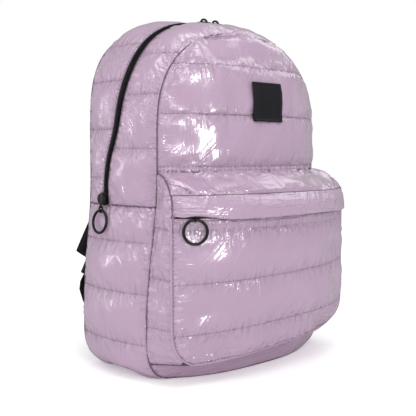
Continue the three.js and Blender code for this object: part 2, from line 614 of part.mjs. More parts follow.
// Sliders and pulls: each is made in a frame of its own, facing -Y with +Z up, whose origin is
// on the face of the zip
const ringRadius = (RING_DIAMETER - RING_WIRE) / 2;
function loopGeometry(radius, wire, wireSides, sides) {
  return new THREE.TorusGeometry(radius, wire / 2, wireSides, sides);
}
function boxGeometry(width, depth, height, y, z) {
  return new THREE.BoxGeometry(width, depth, height).translate(0, y, z);
}
const sliderBack = -(ZIP_RIDGE + SEAT);
const sliderFront = sliderBack - SLIDER_HEIGHT;
const sliderBody = boxGeometry(SLIDER_WIDTH, SLIDER_HEIGHT, SLIDER_LENGTH,
  (sliderBack + sliderFront) / 2, 0);

// The main zip's lower slider: a round head, an eye below it, then the link and the ring
const SUNK = 0.3;                // how far joined forms of one casting run into each other
const EYE_PLACE = 0.85;          // share of the head's thickness at which its eye stands
const headY = sliderFront - HEAD_THICKNESS / 2 + SUNK;
const eyeY = sliderFront - EYE_PLACE * HEAD_THICKNESS;
const linkRadius = (RING_WIRE + LINK_WIRE) / 2 + SEAT;
const eyeRadius = (EYE_WIRE + LINK_WIRE) / 2 + SEAT;
const eyeZ = -HEAD_DIAMETER / 2 - eyeRadius + EYE_WIRE / 4;
const linkTopZ = eyeZ - eyeRadius + (EYE_WIRE + LINK_WIRE) / 2 + SEAT;
const linkBottomZ = linkTopZ - (LINK_LENGTH - LINK_WIRE);
const ringTopZ = linkBottomZ + (LINK_WIRE + RING_WIRE) / 2 + SEAT;
const headGeometry = new THREE.CylinderGeometry(HEAD_DIAMETER / 2, HEAD_DIAMETER / 2,
  HEAD_THICKNESS, 18).translate(0, headY, 0);
const eyeGeometry = loopGeometry(eyeRadius, EYE_WIRE, 5, 10).rotateX(QUARTER)
  .translate(0, eyeY, eyeZ);
function linkGeometry() {
  const straight = (LINK_LENGTH - LINK_WIRE) / 2 - linkRadius;
  const loop = loopGeometry(linkRadius, LINK_WIRE, 6, 14).rotateZ(Math.PI / 14).rotateY(QUARTER);
  const corners = loop.attributes.position;
  for (let i = 0; i < corners.count; i += 1) {
    const y = corners.getY(i);
    corners.setXYZ(i, corners.getX(i), -corners.getZ(i), y + Math.sign(y) * straight);
  }
  return loop;
}

function sideSurface(y, height) {
  const depth = (y - FRONT_SEAM_Y) / BODY_DEPTH;
  const turn = turnAt(height, depth);
  const edge = Math.sqrt(Math.max(Math.sin(Math.PI * depth), 0));
  return -outlinePoint(turn, depth).x + GUSSET_PUFF * puffBetween(sideLines, turn) * edge;
}

// How far a ring hung at a point leans out to rest on the cloth below it
function ringLean(clothOut, hingeOut) {
  const leans = spread(0, 2 * Math.PI, 24).map((angle) => {
    const drop = ringRadius * (1 - Math.cos(angle));
    const out = clothOut(ringRadius * Math.sin(angle), drop) + RING_WIRE / 2 + SEAT - hingeOut;
    return drop > RING_WIRE * 2 ? Math.atan2(out, drop) : 0;
  });
  return Math.max(...leans, 0);
}
function hungRing(lean, topZ, y) {
  return loopGeometry(ringRadius, RING_WIRE, 6, 22).rotateX(QUARTER)
    .translate(0, 0, -ringRadius).rotateX(-lean).translate(0, y, topZ);
}

const pullHeight = SIDE_SEAM_HEIGHT + HEAD_DIAMETER / 2;
const pullTurn = turnAt(pullHeight, zipDepth(SIDE_SEAM_TURN));
const sidePull = new THREE.Group();
sidePull.position.copy(outlinePoint(pullTurn, zipDepth(pullTurn)));
sidePull.position.x = outlinePoint(SIDE_SEAM_TURN, zipDepth(SIDE_SEAM_TURN)).x;
sidePull.rotation.z = -QUARTER;
backpack.add(sidePull);
const sideRingLean = ringLean((across, drop) => sideSurface(sidePull.position.y - across,
  sidePull.position.z + ringTopZ - drop) + sidePull.position.x, -eyeY);
addPiece('zip_slider', joined([sliderBody.clone().translate(0, 0, (SLIDER_LENGTH
  - HEAD_DIAMETER) / 2), headGeometry, eyeGeometry]), blackMetal, sidePull);
addPiece('zip_link', linkGeometry().translate(0, eyeY, (linkTopZ + linkBottomZ) / 2),
  blackMetal, sidePull);
addPiece('zip_ring', hungRing(sideRingLean, ringTopZ, eyeY), blackMetal, sidePull);

// Two sliders meet at the crown, each with a bridge along the zip
function turnAtAcross(across, depth) {
  const share = across / halfWidthAt(SHOULDER_HEIGHT, depth);
  return 2 + Math.acos(share ** (domePower(depth) / 2)) / QUARTER;
}
const bridgeShape = new THREE.Shape();
bridgeShape.absarc(0, 0, BRIDGE_WIRE / 2, 0, 2 * Math.PI);
const bridgeReach = (BRIDGE_LENGTH - BRIDGE_WIRE) / 2;
const bridgePath = new THREE.CatmullRomCurve3(spread(0, Math.PI, 8).map((angle) => (
  new THREE.Vector3(0, sliderFront + SUNK - BRIDGE_RISE * Math.sin(angle),
    bridgeReach * Math.cos(angle)))));
const bridgeGeometry = new THREE.ExtrudeGeometry(bridgeShape,
  { steps: 10, extrudePath: bridgePath, curveSegments: 3 });
const crownTurn = turnAtAcross(CROWN_SLIDER_PITCH / 2, zipDepth(CROWN_TURN));
for (const [name, turn] of [
  ['crown_slider_left', crownTurn],
  ['crown_slider_right', 2 * CROWN_TURN - crownTurn],
]) {
  const depth = zipDepth(turn);
  const inward = outlineNormal(turn, depth).setY(0).normalize().negate();
  const along = new THREE.Vector3(0, 1, 0).cross(inward).normalize();
  const frame = new THREE.Matrix4().makeBasis(new THREE.Vector3(0, 1, 0), inward, along);
  const slider = new THREE.Group();
  slider.setRotationFromMatrix(frame);
  slider.position.copy(outlinePoint(turn, depth));
  backpack.add(slider);
  addPiece(name, joined([sliderBody, bridgeGeometry]), blackMetal, slider);
}

// The pocket's slider lies behind the lip, and its ring hangs straight from its eye
function pocketSurface(x, height) {
  const share = x / pocketHalfWidth(height);
  return -pocketSheet(height, share, pocketPuff(height, share)).y;
}
const pocketPull = new THREE.Group();
const pocketPullHeight = zipFoot + POCKET_ZIP_WIDTH / 2;
pocketPull.position.set(-POCKET_SLIDER_OUT,
  -pocketSurface(-POCKET_SLIDER_OUT, pocketPullHeight), pocketPullHeight);
pocketPull.rotation.z = Math.atan2(
  pocketSurface(-POCKET_SLIDER_OUT - SLIDER_LENGTH / 2, pocketPullHeight)
    - pocketSurface(-POCKET_SLIDER_OUT + SLIDER_LENGTH / 2, pocketPullHeight), SLIDER_LENGTH);
backpack.add(pocketPull);
const pocketEyeRadius = (RING_WIRE + EYE_WIRE) / 2 + SEAT;
const pocketEyeZ = -(POCKET_SLIDER_WIDTH + RING_WIRE) / 2 - SEAT;
const pocketEyeY = -(pocketEyeRadius + EYE_WIRE / 2 + SEAT);
const turnedY = pocketPull.rotation.z;
const pocketLean = ringLean((across, drop) => {
  const out = -pocketEyeY;
  const x = pocketPull.position.x + across * Math.cos(turnedY) + out * Math.sin(turnedY);
  const y = across * Math.sin(turnedY) - out * Math.cos(turnedY) + pocketPull.position.y;
  return out + (pocketSurface(x, pocketPull.position.z + pocketEyeZ - drop) + y)
    * Math.cos(turnedY);
}, -pocketEyeY);
addPiece('pocket_slider', joined([
  boxGeometry(SLIDER_LENGTH, SLIDER_HEIGHT - 2 * SEAT, POCKET_SLIDER_WIDTH,
    -(SLIDER_HEIGHT / 2 + SEAT), 0),
  loopGeometry(pocketEyeRadius, EYE_WIRE, 6, 12).rotateY(QUARTER)
    .translate(0, pocketEyeY, pocketEyeZ),
]), blackMetal, pocketPull);
addPiece('pocket_ring', hungRing(pocketLean, pocketEyeZ, pocketEyeY), blackMetal, pocketPull);

// Shoulder straps: a padded strip along its centre line, then a buckle and a webbing strap
const strapLine = new THREE.CatmullRomCurve3(STRAP_PATH.map((row) => new THREE.Vector3(
  row.out * REAR_HALF_WIDTH, REAR_SEAM_Y + row.back * STRAP_REACH, row.up * REAR_TOP)));
const strapWidths = new THREE.CatmullRomCurve3(STRAP_PATH.map((row) => new THREE.Vector3(
  row.wide * STRAP_HALF_WIDTH, 0, 0)));
const AWAY = new THREE.Vector3(0, 1, 0);
function stripSheet(line, at, side, halfWidth, lift) {
  const across = line.getTangent(at).cross(AWAY).normalize();
  const out = line.getTangent(at).cross(across).normalize();
  if (out.y < 0) out.negate();
  return line.getPoint(at).addScaledVector(across, side * halfWidth).addScaledVector(out, lift);
}
const PAD_ROWS = [0, 0.01, ...spread(0.05, 0.95, 12), 0.99, 1];
const PAD_ACROSS = [-1, -0.75, 0, 0.75, 1];
const PAD_EDGE = 0.4;            // share of the padding's thickness that is left at its edges
const PAD_END = 0.6;             // and at its two ends
const PAD_END_RUN = 0.03;        // length share of each end
function padSheet(at, side, face) {
  const edge = 1 - (1 - PAD_EDGE) * Math.abs(side) ** 5;
  const end = at < PAD_END_RUN || at > 1 - PAD_END_RUN ? PAD_END : 1;
  return stripSheet(strapLine, at, side, strapWidths.getPoint(at).x,
    face * edge * end * STRAP_THICKNESS / 2);
}
const strapEnd = strapLine.getPoint(1);
const strapAim = strapLine.getTangent(1);
const webbingHead = strapEnd.clone().addScaledVector(strapAim, BUCKLE_HEIGHT + 4 * SEAT);
const webbingFoot = backSheet(turnAt(WEBBING_FOOT, 1), WEBBING_OUT, 0).setZ(WEBBING_FOOT);
webbingFoot.y += 2 * SEAT + WEBBING_THICKNESS / 2;
const webbingLine = new THREE.CatmullRomCurve3([
  webbingHead,
  webbingHead.clone().addScaledVector(strapAim, WEBBING_WIDTH / 2),
  webbingFoot.clone().add(new THREE.Vector3(0, WEBBING_THICKNESS, WEBBING_WIDTH)),
  webbingFoot,
]);
function buckleGeometry() {
  const plate = new THREE.Shape();
  plate.moveTo(-BUCKLE_WIDTH / 2, 0);
  plate.lineTo(BUCKLE_WIDTH / 2, 0);
  plate.lineTo(BUCKLE_WIDTH / 2, BUCKLE_HEIGHT);
  plate.lineTo(-BUCKLE_WIDTH / 2, BUCKLE_HEIGHT);
  const slotHeight = (BUCKLE_HEIGHT - 3 * BUCKLE_BAR) / 2;
  for (const low of [BUCKLE_BAR, 2 * BUCKLE_BAR + slotHeight]) {
    const slot = new THREE.Path();
    const half = WEBBING_WIDTH / 2 + BUCKLE_SLACK;
    slot.moveTo(-half, low);
    slot.lineTo(-half, low + slotHeight);
    slot.lineTo(half, low + slotHeight);
    slot.lineTo(half, low);
    plate.holes.push(slot);
  }
  const across = strapAim.clone().cross(AWAY).normalize();
  const out = across.clone().cross(strapAim).normalize();
  const place = new THREE.Matrix4().makeBasis(across, strapAim, out);
  place.setPosition(strapEnd.clone().addScaledVector(strapAim, SEAT));
  return new THREE.ExtrudeGeometry(plate, { depth: BUCKLE_THICKNESS, bevelEnabled: false })
    .translate(0, 0, -BUCKLE_THICKNESS / 2).applyMatrix4(place);
}
function mirrored(geometry, mirror) {
  if (mirror > 0) return geometry;
  const flipped = geometry.clone().scale(-1, 1, 1);
  const corners = flipped.index ? [...flipped.index.array]
    : Array.from({ length: flipped.attributes.position.count }, (_, i) => i);
  return flipped.setIndex(corners.reverse());
}
for (const [side, mirror] of [['right', 1], ['left', -1]]) {
  addPiece(`shoulder_strap_${side}`, mirrored(shellGeometry(PAD_ROWS, PAD_ACROSS,
    (at, across) => padSheet(at, across, 1),
    (at, across) => padSheet(at, across, -1)), mirror), blackCloth);
  addPiece(`strap_buckle_${side}`, mirrored(buckleGeometry(), mirror), blackTrim);
  addPiece(`strap_webbing_${side}`, mirrored(shellGeometry(spread(0, 1, 8), [-1, 1],
    (at, across) => stripSheet(webbingLine, at, across, WEBBING_WIDTH / 2, WEBBING_THICKNESS / 2),
    (at, across) => stripSheet(webbingLine, at, across, WEBBING_WIDTH / 2,
      -WEBBING_THICKNESS / 2)), mirror), blackCloth);
}

export default backpack;
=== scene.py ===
# Quilted puffer backpack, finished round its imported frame: metres, +Z up, the front faces -Y
import math

import bmesh
import bpy
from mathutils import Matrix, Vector, bvhtree, kdtree, noise


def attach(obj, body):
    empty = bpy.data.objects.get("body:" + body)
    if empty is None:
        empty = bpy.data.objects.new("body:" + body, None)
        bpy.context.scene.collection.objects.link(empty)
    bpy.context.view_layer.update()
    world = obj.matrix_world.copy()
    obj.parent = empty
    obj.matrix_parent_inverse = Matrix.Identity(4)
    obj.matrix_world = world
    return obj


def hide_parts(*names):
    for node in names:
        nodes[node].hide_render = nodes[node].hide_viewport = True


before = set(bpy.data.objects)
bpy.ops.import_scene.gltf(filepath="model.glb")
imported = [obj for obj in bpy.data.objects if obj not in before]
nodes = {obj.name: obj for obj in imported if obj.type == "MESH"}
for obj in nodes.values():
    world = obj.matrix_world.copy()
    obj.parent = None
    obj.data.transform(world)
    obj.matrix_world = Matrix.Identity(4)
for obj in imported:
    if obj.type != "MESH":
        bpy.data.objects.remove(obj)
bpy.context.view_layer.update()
bpy.ops.object.select_all(action="DESELECT")

# Camera: at the photograph's angle, 43 degrees to the left of the front and 4 degrees down
CAMERA_PLACE = (-0.6946, -0.7455, 0.263)
CAMERA_TILT = 85.92              # degrees up from straight down
CAMERA_TURN = -43                # degrees round from the front
SENSOR = 36
FOCAL_SHARE = 777 / 416          # focal length over sensor width, in pixels of the photograph
bpy.ops.object.camera_add(location=CAMERA_PLACE,
                          rotation=(math.radians(CAMERA_TILT), 0, math.radians(CAMERA_TURN)))
camera = bpy.context.object
camera.name = "camera"
camera.data.sensor_width = SENSOR
camera.data.lens = FOCAL_SHARE * SENSOR
bpy.context.scene.camera = camera

# Studio: a pale floor that is darker in reflections, a broad white surround, softboxes, and
# three cards that only show as gloss: in front, high at the right, and far round at the left
FLOOR_SIZE = 12
FLOOR_TONE = 0.93
FLOOR_GLOW = 0.26
FLOOR_MIRRORED = 0.42            # the floor's tone where it is reflected
bpy.context.scene.view_settings.view_transform = "Standard"
bpy.ops.mesh.primitive_plane_add(size=FLOOR_SIZE, location=(0, 0, 0))
floor = bpy.context.object
floor.name = "floor"
paint = bpy.data.materials.new("pale_floor")
paint.use_nodes = True
surface = paint.node_tree.nodes["Principled BSDF"]
surface.inputs["Base Color"].default_value = (FLOOR_TONE, FLOOR_TONE, FLOOR_TONE, 1)
surface.inputs["Roughness"].default_value = 0.9
surface.inputs["Specular IOR Level"].default_value = 0.1
surface.inputs["Emission Color"].default_value = (1, 1, 1, 1)
surface.inputs["Emission Strength"].default_value = FLOOR_GLOW
mirrored = paint.node_tree.nodes.new("ShaderNodeBsdfDiffuse")
mirrored.inputs["Color"].default_value = (FLOOR_MIRRORED, FLOOR_MIRRORED, FLOOR_MIRRORED, 1)
floor_rays = paint.node_tree.nodes.new("ShaderNodeLightPath")
either = paint.node_tree.nodes.new("ShaderNodeMixShader")
paint.node_tree.links.new(floor_rays.outputs["Is Glossy Ray"], either.inputs[0])
paint.node_tree.links.new(surface.outputs["BSDF"], either.inputs[1])
paint.node_tree.links.new(mirrored.outputs["BSDF"], either.inputs[2])
paint.node_tree.links.new(either.outputs["Shader"],
                          paint.node_tree.nodes["Material Output"].inputs["Surface"])
floor.data.materials.append(paint)

# The surround is white to look at and as fill light, and darker in reflections, as a studio is
FILL = 0.82
REFLECTED = 0.4
world = bpy.data.worlds.new("surround")
world.use_nodes = True
background = world.node_tree.nodes["Background"]
background.inputs["Color"].default_value = (1, 1, 1, 1)
rays = world.node_tree.nodes.new("ShaderNodeLightPath")
shares = world.node_tree.nodes.new("ShaderNodeMix")
shares.inputs[2].default_value = FILL
shares.inputs[3].default_value = REFLECTED
seen = world.node_tree.nodes.new("ShaderNodeMath")
seen.operation = "MAXIMUM"
world.node_tree.links.new(rays.outputs["Is Glossy Ray"], shares.inputs[0])
world.node_tree.links.new(shares.outputs[0], seen.inputs[0])
world.node_tree.links.new(rays.outputs["Is Camera Ray"], seen.inputs[1])
world.node_tree.links.new(seen.outputs["Value"], background.inputs["Strength"])
bpy.context.scene.world = world
AIM = Vector((0, 0, 0.22))       # the middle of the backpack


def add_softbox(name, azimuth, elevation, distance, size, power, gloss_only=False):
    """An area light, given as (width, height), that looks at the middle of the backpack"""
    turn, rise = math.radians(azimuth), math.radians(elevation)
    away = Vector((math.sin(turn) * math.cos(rise), -math.cos(turn) * math.cos(rise),
                   math.sin(rise)))
    bpy.ops.object.light_add(type="AREA", location=AIM + distance * away)
    light = bpy.context.object
    light.name = name
    light.rotation_euler = (-away).to_track_quat("-Z", "Y").to_euler()
    light.data.shape = "RECTANGLE"
    light.data.size, light.data.size_y = size
    light.data.energy = power
    light.visible_diffuse = not gloss_only


add_softbox("key_card", -11, 9, 1.6, (0.3, 0.34), 8, gloss_only=True)
add_softbox("high_card", 85, 46, 2.0, (1.5, 1.1), 7, gloss_only=True)
add_softbox("rim_card", -135, 5, 2.0, (0.06, 1.1), 3, gloss_only=True)
add_softbox("key_softbox", -30, 24, 1.8, (0.5, 0.5), 3.6)
add_softbox("left_softbox", -100, 24, 2.2, (0.12, 0.9), 4)
add_softbox("top_softbox", -30, 76, 2.0, (1.0, 1.0), 13)


# Front panel: one padded piece of coated lilac nylon, glossy as if wet, over soft wadding, with
# three rows of stitching. Fine creases run away from each stitch line and seam, so the cloth's
# attributes say how near the closest one is, for the creases and for a painted shade beside it.
LILAC = (0.45, 0.315, 0.436, 1)
# painted shade: the cloth is darkened towards this colour in the furrow beside each stitch line
# and seam
LILAC_PAINTED_SHADE = (0.17, 0.105, 0.155, 1)
WALL = 0.0026
FRONT_ROWS = (0.2468, 0.3072, 0.3652)
CREASES = (230, 34)              # noise per metre, across a crease and along it
CREASE_DEPTH = 0.005
SLANT = 0.7                      # turn of the folds that pull slantwise, in radians
SLANT_CREASES = (95, 20)
THREADS = 1500                   # noise per metre that stands for the weave
THREAD_DEPTH = 0.0004
PATCHES = 14.0                   # noise per metre of the cloth's uneven tone
TONES = (0.93, 1.07)
materials = {}                   # every material of the backpack, by its name


def new_material(name, colour, roughness):
    """A material with its shader, ready for more nodes"""
    material = bpy.data.materials.new(name)
    material.use_nodes = True
    shader = material.node_tree.nodes["Principled BSDF"]
    shader.inputs["Base Color"].default_value = colour
    shader.inputs["Roughness"].default_value = roughness
    materials[name] = material
    return material, shader


def add_node(material, kind, links=(), inputs=(), **values):
    """A node with its values by name, and links as (socket here, node there, socket there)"""
    node = material.node_tree.nodes.new(kind)
    for key, value in values.items():
        setattr(node, key, value)
    for socket, value in inputs:
        node.inputs[socket].default_value = value
    for here, there, socket in links:
        material.node_tree.links.new(there.outputs[socket], node.inputs[here])
    return node


def crease_noise(material, grain, near, across, along, detail, sharp, socket="UV"):
    """Creases that run one way, strongest where the attribute is"""
    place = add_node(material, "ShaderNodeMapping", [("Vector", grain, socket)],
                     [("Scale", (across, along, 1))])
    wave = add_node(material, "ShaderNodeTexNoise", [("Vector", place, "Vector")],
                    [("Scale", 1.0), ("Detail", detail), ("Distortion", 0.8)])
    middle = add_node(material, "ShaderNodeMath", [(0, wave, "Fac")], [(1, 0.5)],
                      operation="SUBTRACT")
    fold = add_node(material, "ShaderNodeMath", [(0, middle, "Value")], operation="ABSOLUTE")
    mixed = add_node(material, "ShaderNodeMix", [(2, middle, "Value"), (3, fold, "Value")],
                     [(0, sharp)])
    return add_node(material, "ShaderNodeMath", [(0, mixed, 0), (1, near, "Fac")],
                    operation="MULTIPLY")


def make_lilac_nylon():
    """Glossy coated nylon with creases along the grain, finest beside the stitching, and painted
    shade along the stitching
    """
    material, shader = new_material("lilac_nylon", LILAC, 0.27)
    shader.inputs["Coat Weight"].default_value = 0.9
    shader.inputs["Coat Roughness"].default_value = 0.07
    shader.inputs["Coat IOR"].default_value = 1.62
    link = material.node_tree.links.new
    grain = add_node(material, "ShaderNodeUVMap", uv_map="grain")
    near_line = add_node(material, "ShaderNodeAttribute", attribute_name="near_line")
    near_side = add_node(material, "ShaderNodeAttribute", attribute_name="near_side")
    across, along = CREASES
    down = crease_noise(material, grain, near_line, across, along, 2.5, 0.6)
    sideways = crease_noise(material, grain, near_side, along, across, 2.5, 0.6)
    height = add_node(material, "ShaderNodeMath", [(0, down, "Value"), (1, sideways, "Value")],
                      operation="ADD")
    slant = add_node(material, "ShaderNodeMapping", [("Vector", grain, "UV")],
                     [("Rotation", (0, 0, SLANT))])
    loose = add_node(material, "ShaderNodeAttribute", attribute_name="loose")
    drag = crease_noise(material, slant, loose, *SLANT_CREASES, 1.5, 0.8, "Vector")
    height = add_node(material, "ShaderNodeMath", [(0, height, "Value"), (1, drag, "Value")],
                      operation="ADD")
    bump = add_node(material, "ShaderNodeBump", [("Height", height, "Value")],
                    [("Strength", 1.0), ("Distance", CREASE_DEPTH)])
    weave_place = add_node(material, "ShaderNodeMapping", [("Vector", grain, "UV")],
                           [("Scale", (THREADS, THREADS, 1))])
    weave = add_node(material, "ShaderNodeTexNoise", [("Vector", weave_place, "Vector")],
                     [("Scale", 1.0), ("Detail", 1.0)])
    fine = add_node(material, "ShaderNodeBump", [("Height", weave, "Fac"),
                                                 ("Normal", bump, "Normal")],
                    [("Strength", 0.12), ("Distance", THREAD_DEPTH)])
    link(fine.outputs["Normal"], shader.inputs["Normal"])
    link(bump.outputs["Normal"], shader.inputs["Coat Normal"])
    # painted shade: the colour darkens beside each stitch line and seam, as far as the seam_shade
    # attribute says
    tone = add_node(material, "ShaderNodeAttribute", attribute_name="seam_shade")
    patchy = add_node(material, "ShaderNodeTexNoise", [("Vector", grain, "UV")],
                      [("Scale", PATCHES), ("Detail", 3.0)])
    soft = add_node(material, "ShaderNodeMix", [(0, patchy, "Fac")], data_type="RGBA")
    for socket, share in zip((6, 7), TONES):
        soft.inputs[socket].default_value = [c * share for c in LILAC[:3]] + [1]
    colour = add_node(material, "ShaderNodeMix", [(0, tone, "Fac"), (6, soft, 2)],
                      data_type="RGBA")
    colour.inputs[7].default_value = LILAC_PAINTED_SHADE
    link(colour.outputs[2], shader.inputs["Base Color"])


make_lilac_nylon()
JOIN_WITHIN = 2e-5
INNER_LEAN = -0.3                # faces that lean further from outward are the inner side


def work_on(piece):
    """Selects one piece alone"""
    bpy.ops.object.select_all(action="DESELECT")
    bpy.context.view_layer.objects.active = piece
    piece.select_set(True)


def copy_of(node, name):
    """A copy of a piece of the frame, its loose triangles joined up"""
    mesh = nodes[node].data.copy()
    piece = bpy.data.objects.new(name, mesh)
    bpy.context.scene.collection.objects.link(piece)
    work_on(piece)
    bpy.ops.object.mode_set(mode="EDIT")
    bpy.ops.mesh.select_all(action="SELECT")
    bpy.ops.mesh.remove_doubles(threshold=JOIN_WITHIN)
    bpy.ops.mesh.customdata_custom_splitnormals_clear()
    bpy.ops.object.mode_set(mode="OBJECT")
    return piece


def outer_side(name, node, outward, slot="lilac_nylon", least=0.3):
    """The outer face of a cloth piece of the frame, and a finder for its inner face"""
    sheet = copy_of(node, name)
    bpy.ops.object.mode_set(mode="EDIT")
    work = bmesh.from_edit_mesh(sheet.data)
    inner = []
    for face in work.faces:
        lean = face.normal.dot(outward(face.calc_center_median()))
        face.select_set(lean < least)
        if lean < INNER_LEAN:
            inner.append([v.index for v in face.verts])
    below = bvhtree.BVHTree.FromPolygons([v.co.copy() for v in work.verts], inner)
    bmesh.update_edit_mesh(sheet.data)
    bpy.ops.mesh.delete(type="FACE")
    bpy.ops.mesh.select_all(action="SELECT")
    bpy.ops.mesh.tris_convert_to_quads(face_threshold=math.pi, shape_threshold=math.pi)
    bpy.ops.object.mode_set(mode="OBJECT")
    sheet.data.materials.clear()
    sheet.data.materials.append(materials[slot])
    return sheet, below


def take_padding_off(sheet, below):
    """Lays a sheet one wall above the inner face, apart from its own edge"""
    work = bmesh.new()
    work.from_mesh(sheet.data)
    for v in work.verts:
        if not v.is_boundary:
            foot, _, _, height = below.find_nearest(v.co)
            v.co = foot + (v.co - foot) * (WALL / height)
    work.to_mesh(sheet.data)
    work.free()


def refine(sheet, levels):
    """Subdivides a sheet smoothly, up to its own edge"""
    work_on(sheet)
    bpy.ops.object.modifier_add(type="SUBSURF")
    rounding = sheet.modifiers[-1]
    rounding.levels = rounding.render_levels = levels
    rounding.boundary_smooth = "PRESERVE_CORNERS"
    bpy.ops.object.modifier_apply(modifier=rounding.name)


def stitch_across(sheet, places):
    """Slides the nearest vertices on to each stitch line, given as (point, normal)"""
    group = sheet.vertex_groups.new(name="held")
    for point, normal in places:
        point, normal = Vector(point), Vector(normal)
        work = bmesh.new()
        work.from_mesh(sheet.data)
        slides = {}
        for edge in work.edges:
            low, high = sorted(edge.verts, key=lambda v: abs((v.co - point).dot(normal)))
            here, there = ((v.co - point).dot(normal) for v in (low, high))
            if here * there <= 0 and abs(there) > 1e-6:
                slide = (high.co - low.co) * (here / (here - there))
                if low.index not in slides or slide.length < slides[low.index].length:
                    slides[low.index] = slide
        work.free()
        for index, slide in slides.items():
            sheet.data.vertices[index].co += slide
        group.add(list(slides), 1.0, "REPLACE")


def pinned_places(sheet):
    """Pins the sheet's edge and its stitched vertices, and gives a finder for each of the two"""
    group = sheet.vertex_groups["held"]
    work = bmesh.new()
    work.from_mesh(sheet.data)
    edge = [v.index for v in work.verts if v.is_boundary]
    work.free()
    lines = [v.index for v in sheet.data.vertices
             if any(g.group == group.index for g in v.groups)]
    group.add(edge, 1.0, "REPLACE")
    finders = []
    for indices in (edge, lines):
        finder = kdtree.KDTree(len(indices) + 1)
        finder.insert((0, 0, 9), 0)
        for i in indices:
            finder.insert(sheet.data.vertices[i].co, i)
        finder.balance()
        finders.append(finder)
    return finders


STEEP_SHARE = 0.4                # share of the padding that rises at once beside a stitch
STEEP_RUN = 0.2                  # and within which share of the whole run
FOLDS = (150, 18)                # puckers, as noise per metre across and along them
FOLD_HEIGHT = 1.6                # in shares of a sheet's crease
FOLD_REACH = 0.014               # how far they run from the thread
FOLD_HOLD = 0.003                # how near the thread holds them down
SLACK_DEPTH = 0.0007             # of the uneven filling in the middle of a row
MIDDLE_START = 0.008             # where the middle of a row begins, from the nearest thread
MIDDLE_RUN = 0.012
# seam_shade is a painted shade in the furrow beside each stitch line and seam
FADES = {"near_line": (1.2, 0.01), "near_side": (1.15, 0.01), "loose": (0.8, 0.02),
         "seam_shade": (0.14, 0.001)}   # strength at the thread, and reach


def swell(distance, run):
    """Padding beside a stitch: steep at first and then round, 0 at the thread"""
    round_part = math.sin(math.pi / 2 * min(distance / run, 1))
    return (STEEP_SHARE * (1 - math.exp(-distance / (STEEP_RUN * run)))
            + (1 - STEEP_SHARE) * round_part)


def fade(strength, reach, distance):
    return strength * math.exp(-distance / reach)


def quilt(sheet, place, puff, seed, run=0.028, edge_run=0.02, crease=0.0008, drag=0.0):
    """Pads a sheet between its stitches, creases it beside them, and lays its grain. Drag is the
    depth of the long folds that pull slantwise across the rows."""
    to_edge, to_line = pinned_places(sheet)
    mesh = sheet.data
    mesh.uv_layers.new(name="grain")
    for name in FADES:
        mesh.attributes.new(name, "FLOAT", "POINT")
    middle = sheet.vertex_groups.new(name="middle")
    across, along = FOLDS
    where = [place(v.co) for v in mesh.vertices]
    normals = [v.normal.copy() for v in mesh.vertices]
    for v, (u, w), normal in zip(mesh.vertices, where, normals):
        edge = to_edge.find(v.co)[2]
        line = to_line.find(v.co)[2]
        hold = swell(edge, edge_run) * swell(line, run)
        folds = (noise.noise(Vector((u * across, w * along, seed))) * fade(1, FOLD_REACH, line)
                 + noise.noise(Vector((u * along, w * across, seed + 5)))
                 * fade(1, FOLD_REACH, edge))
        folds *= (1 - fade(1, FOLD_HOLD, line)) * (1 - fade(1, FOLD_HOLD, edge))
        slack = noise.noise(Vector((u * 22, w * 30, seed + 9)))
        pull = noise.noise(Vector((u * 16 + w * 9, w * 50 - u * 28, seed + 13)))
        v.co += normal * (puff * hold + crease * folds * FOLD_HEIGHT
                          + (SLACK_DEPTH * slack + drag * (0.6 - 2 * abs(pull))) * hold)
        thread = min(line, edge)
        for name, gap in zip(FADES, (line, edge, thread, thread)):
            mesh.attributes[name].data[v.index].value = fade(*FADES[name], gap)
        middle.add([v.index], min(max((thread - MIDDLE_START) / MIDDLE_RUN, 0), 1), "REPLACE")
    grain = mesh.uv_layers["grain"].data
    for loop in mesh.loops:
        grain[loop.index].uv = where[loop.vertex_index]


def level(*heights):
    """Level stitch lines"""
    return [((0, 0, height), (0, 0, 1)) for height in heights]


def forward(_):
    """Outward, for a piece that faces the front"""
    return Vector((0, -1, 0))


sheets = {}                      # each cloth sheet, with its node, its fill and if it is blown up
front, below = outer_side("front_cloth", "front_panel", forward, least=0.05)
take_padding_off(front, below)
refine(front, 3)
stitch_across(front, level(*FRONT_ROWS))
quilt(front, lambda co: (co.x, co.z), 0.0032, 1.0, run=0.017)
sheets[front] = ("front_panel", 0.6, True)

# Band below the pocket: one strip of the same nylon without padding, drawn tight round the foot
# of the front and sewn to the front panel, to both sides and to the base
band, _ = outer_side("band_cloth", "bottom_gusset", forward, least=0.4)
refine(band, 2)
stitch_across(band, [])
quilt(band, lambda co: (co.x, co.z), 0.0006, 2.0)
sheets[band] = ("bottom_gusset", 0.2, False)

# Gussets: two arched strips of padded nylon, one on either side of the main zip. Each is stitched
# across at its own heights, and sewn to the zip's tape and to the front or the back panel.
ARCH_AXIS = 0.2                  # height of the line that the arch goes round
GUSSET_ROWS = {"front_gusset": (0.268, 0.330, 0.378),
               "rear_gusset": (0.233, 0.291, 0.348, 0.393)}


def from_axis(height):
    """Outward from a line through the body, from its front to its back"""
    return lambda centre: Vector((centre.x, 0, centre.z - height)).normalized()


ARCH_CENTRE = 0.25
ARCH_RADIUS = 0.17


def arch_turn(co):
    return math.atan2(co.x, co.z - ARCH_CENTRE)


def around(co):
    """Place on the arch: from front to back, and along the arch"""
    return co.y, ARCH_RADIUS * arch_turn(co)


for seed, (node, heights) in enumerate(GUSSET_ROWS.items()):
    arch, below = outer_side(f"{node}_cloth", node, from_axis(ARCH_AXIS))
    take_padding_off(arch, below)
    refine(arch, 3)
    stitch_across(arch, level(*heights))
    quilt(arch, around, 0.003, 3.0 + seed, drag=0.002)
    sheets[arch] = (node, 0.6, True)

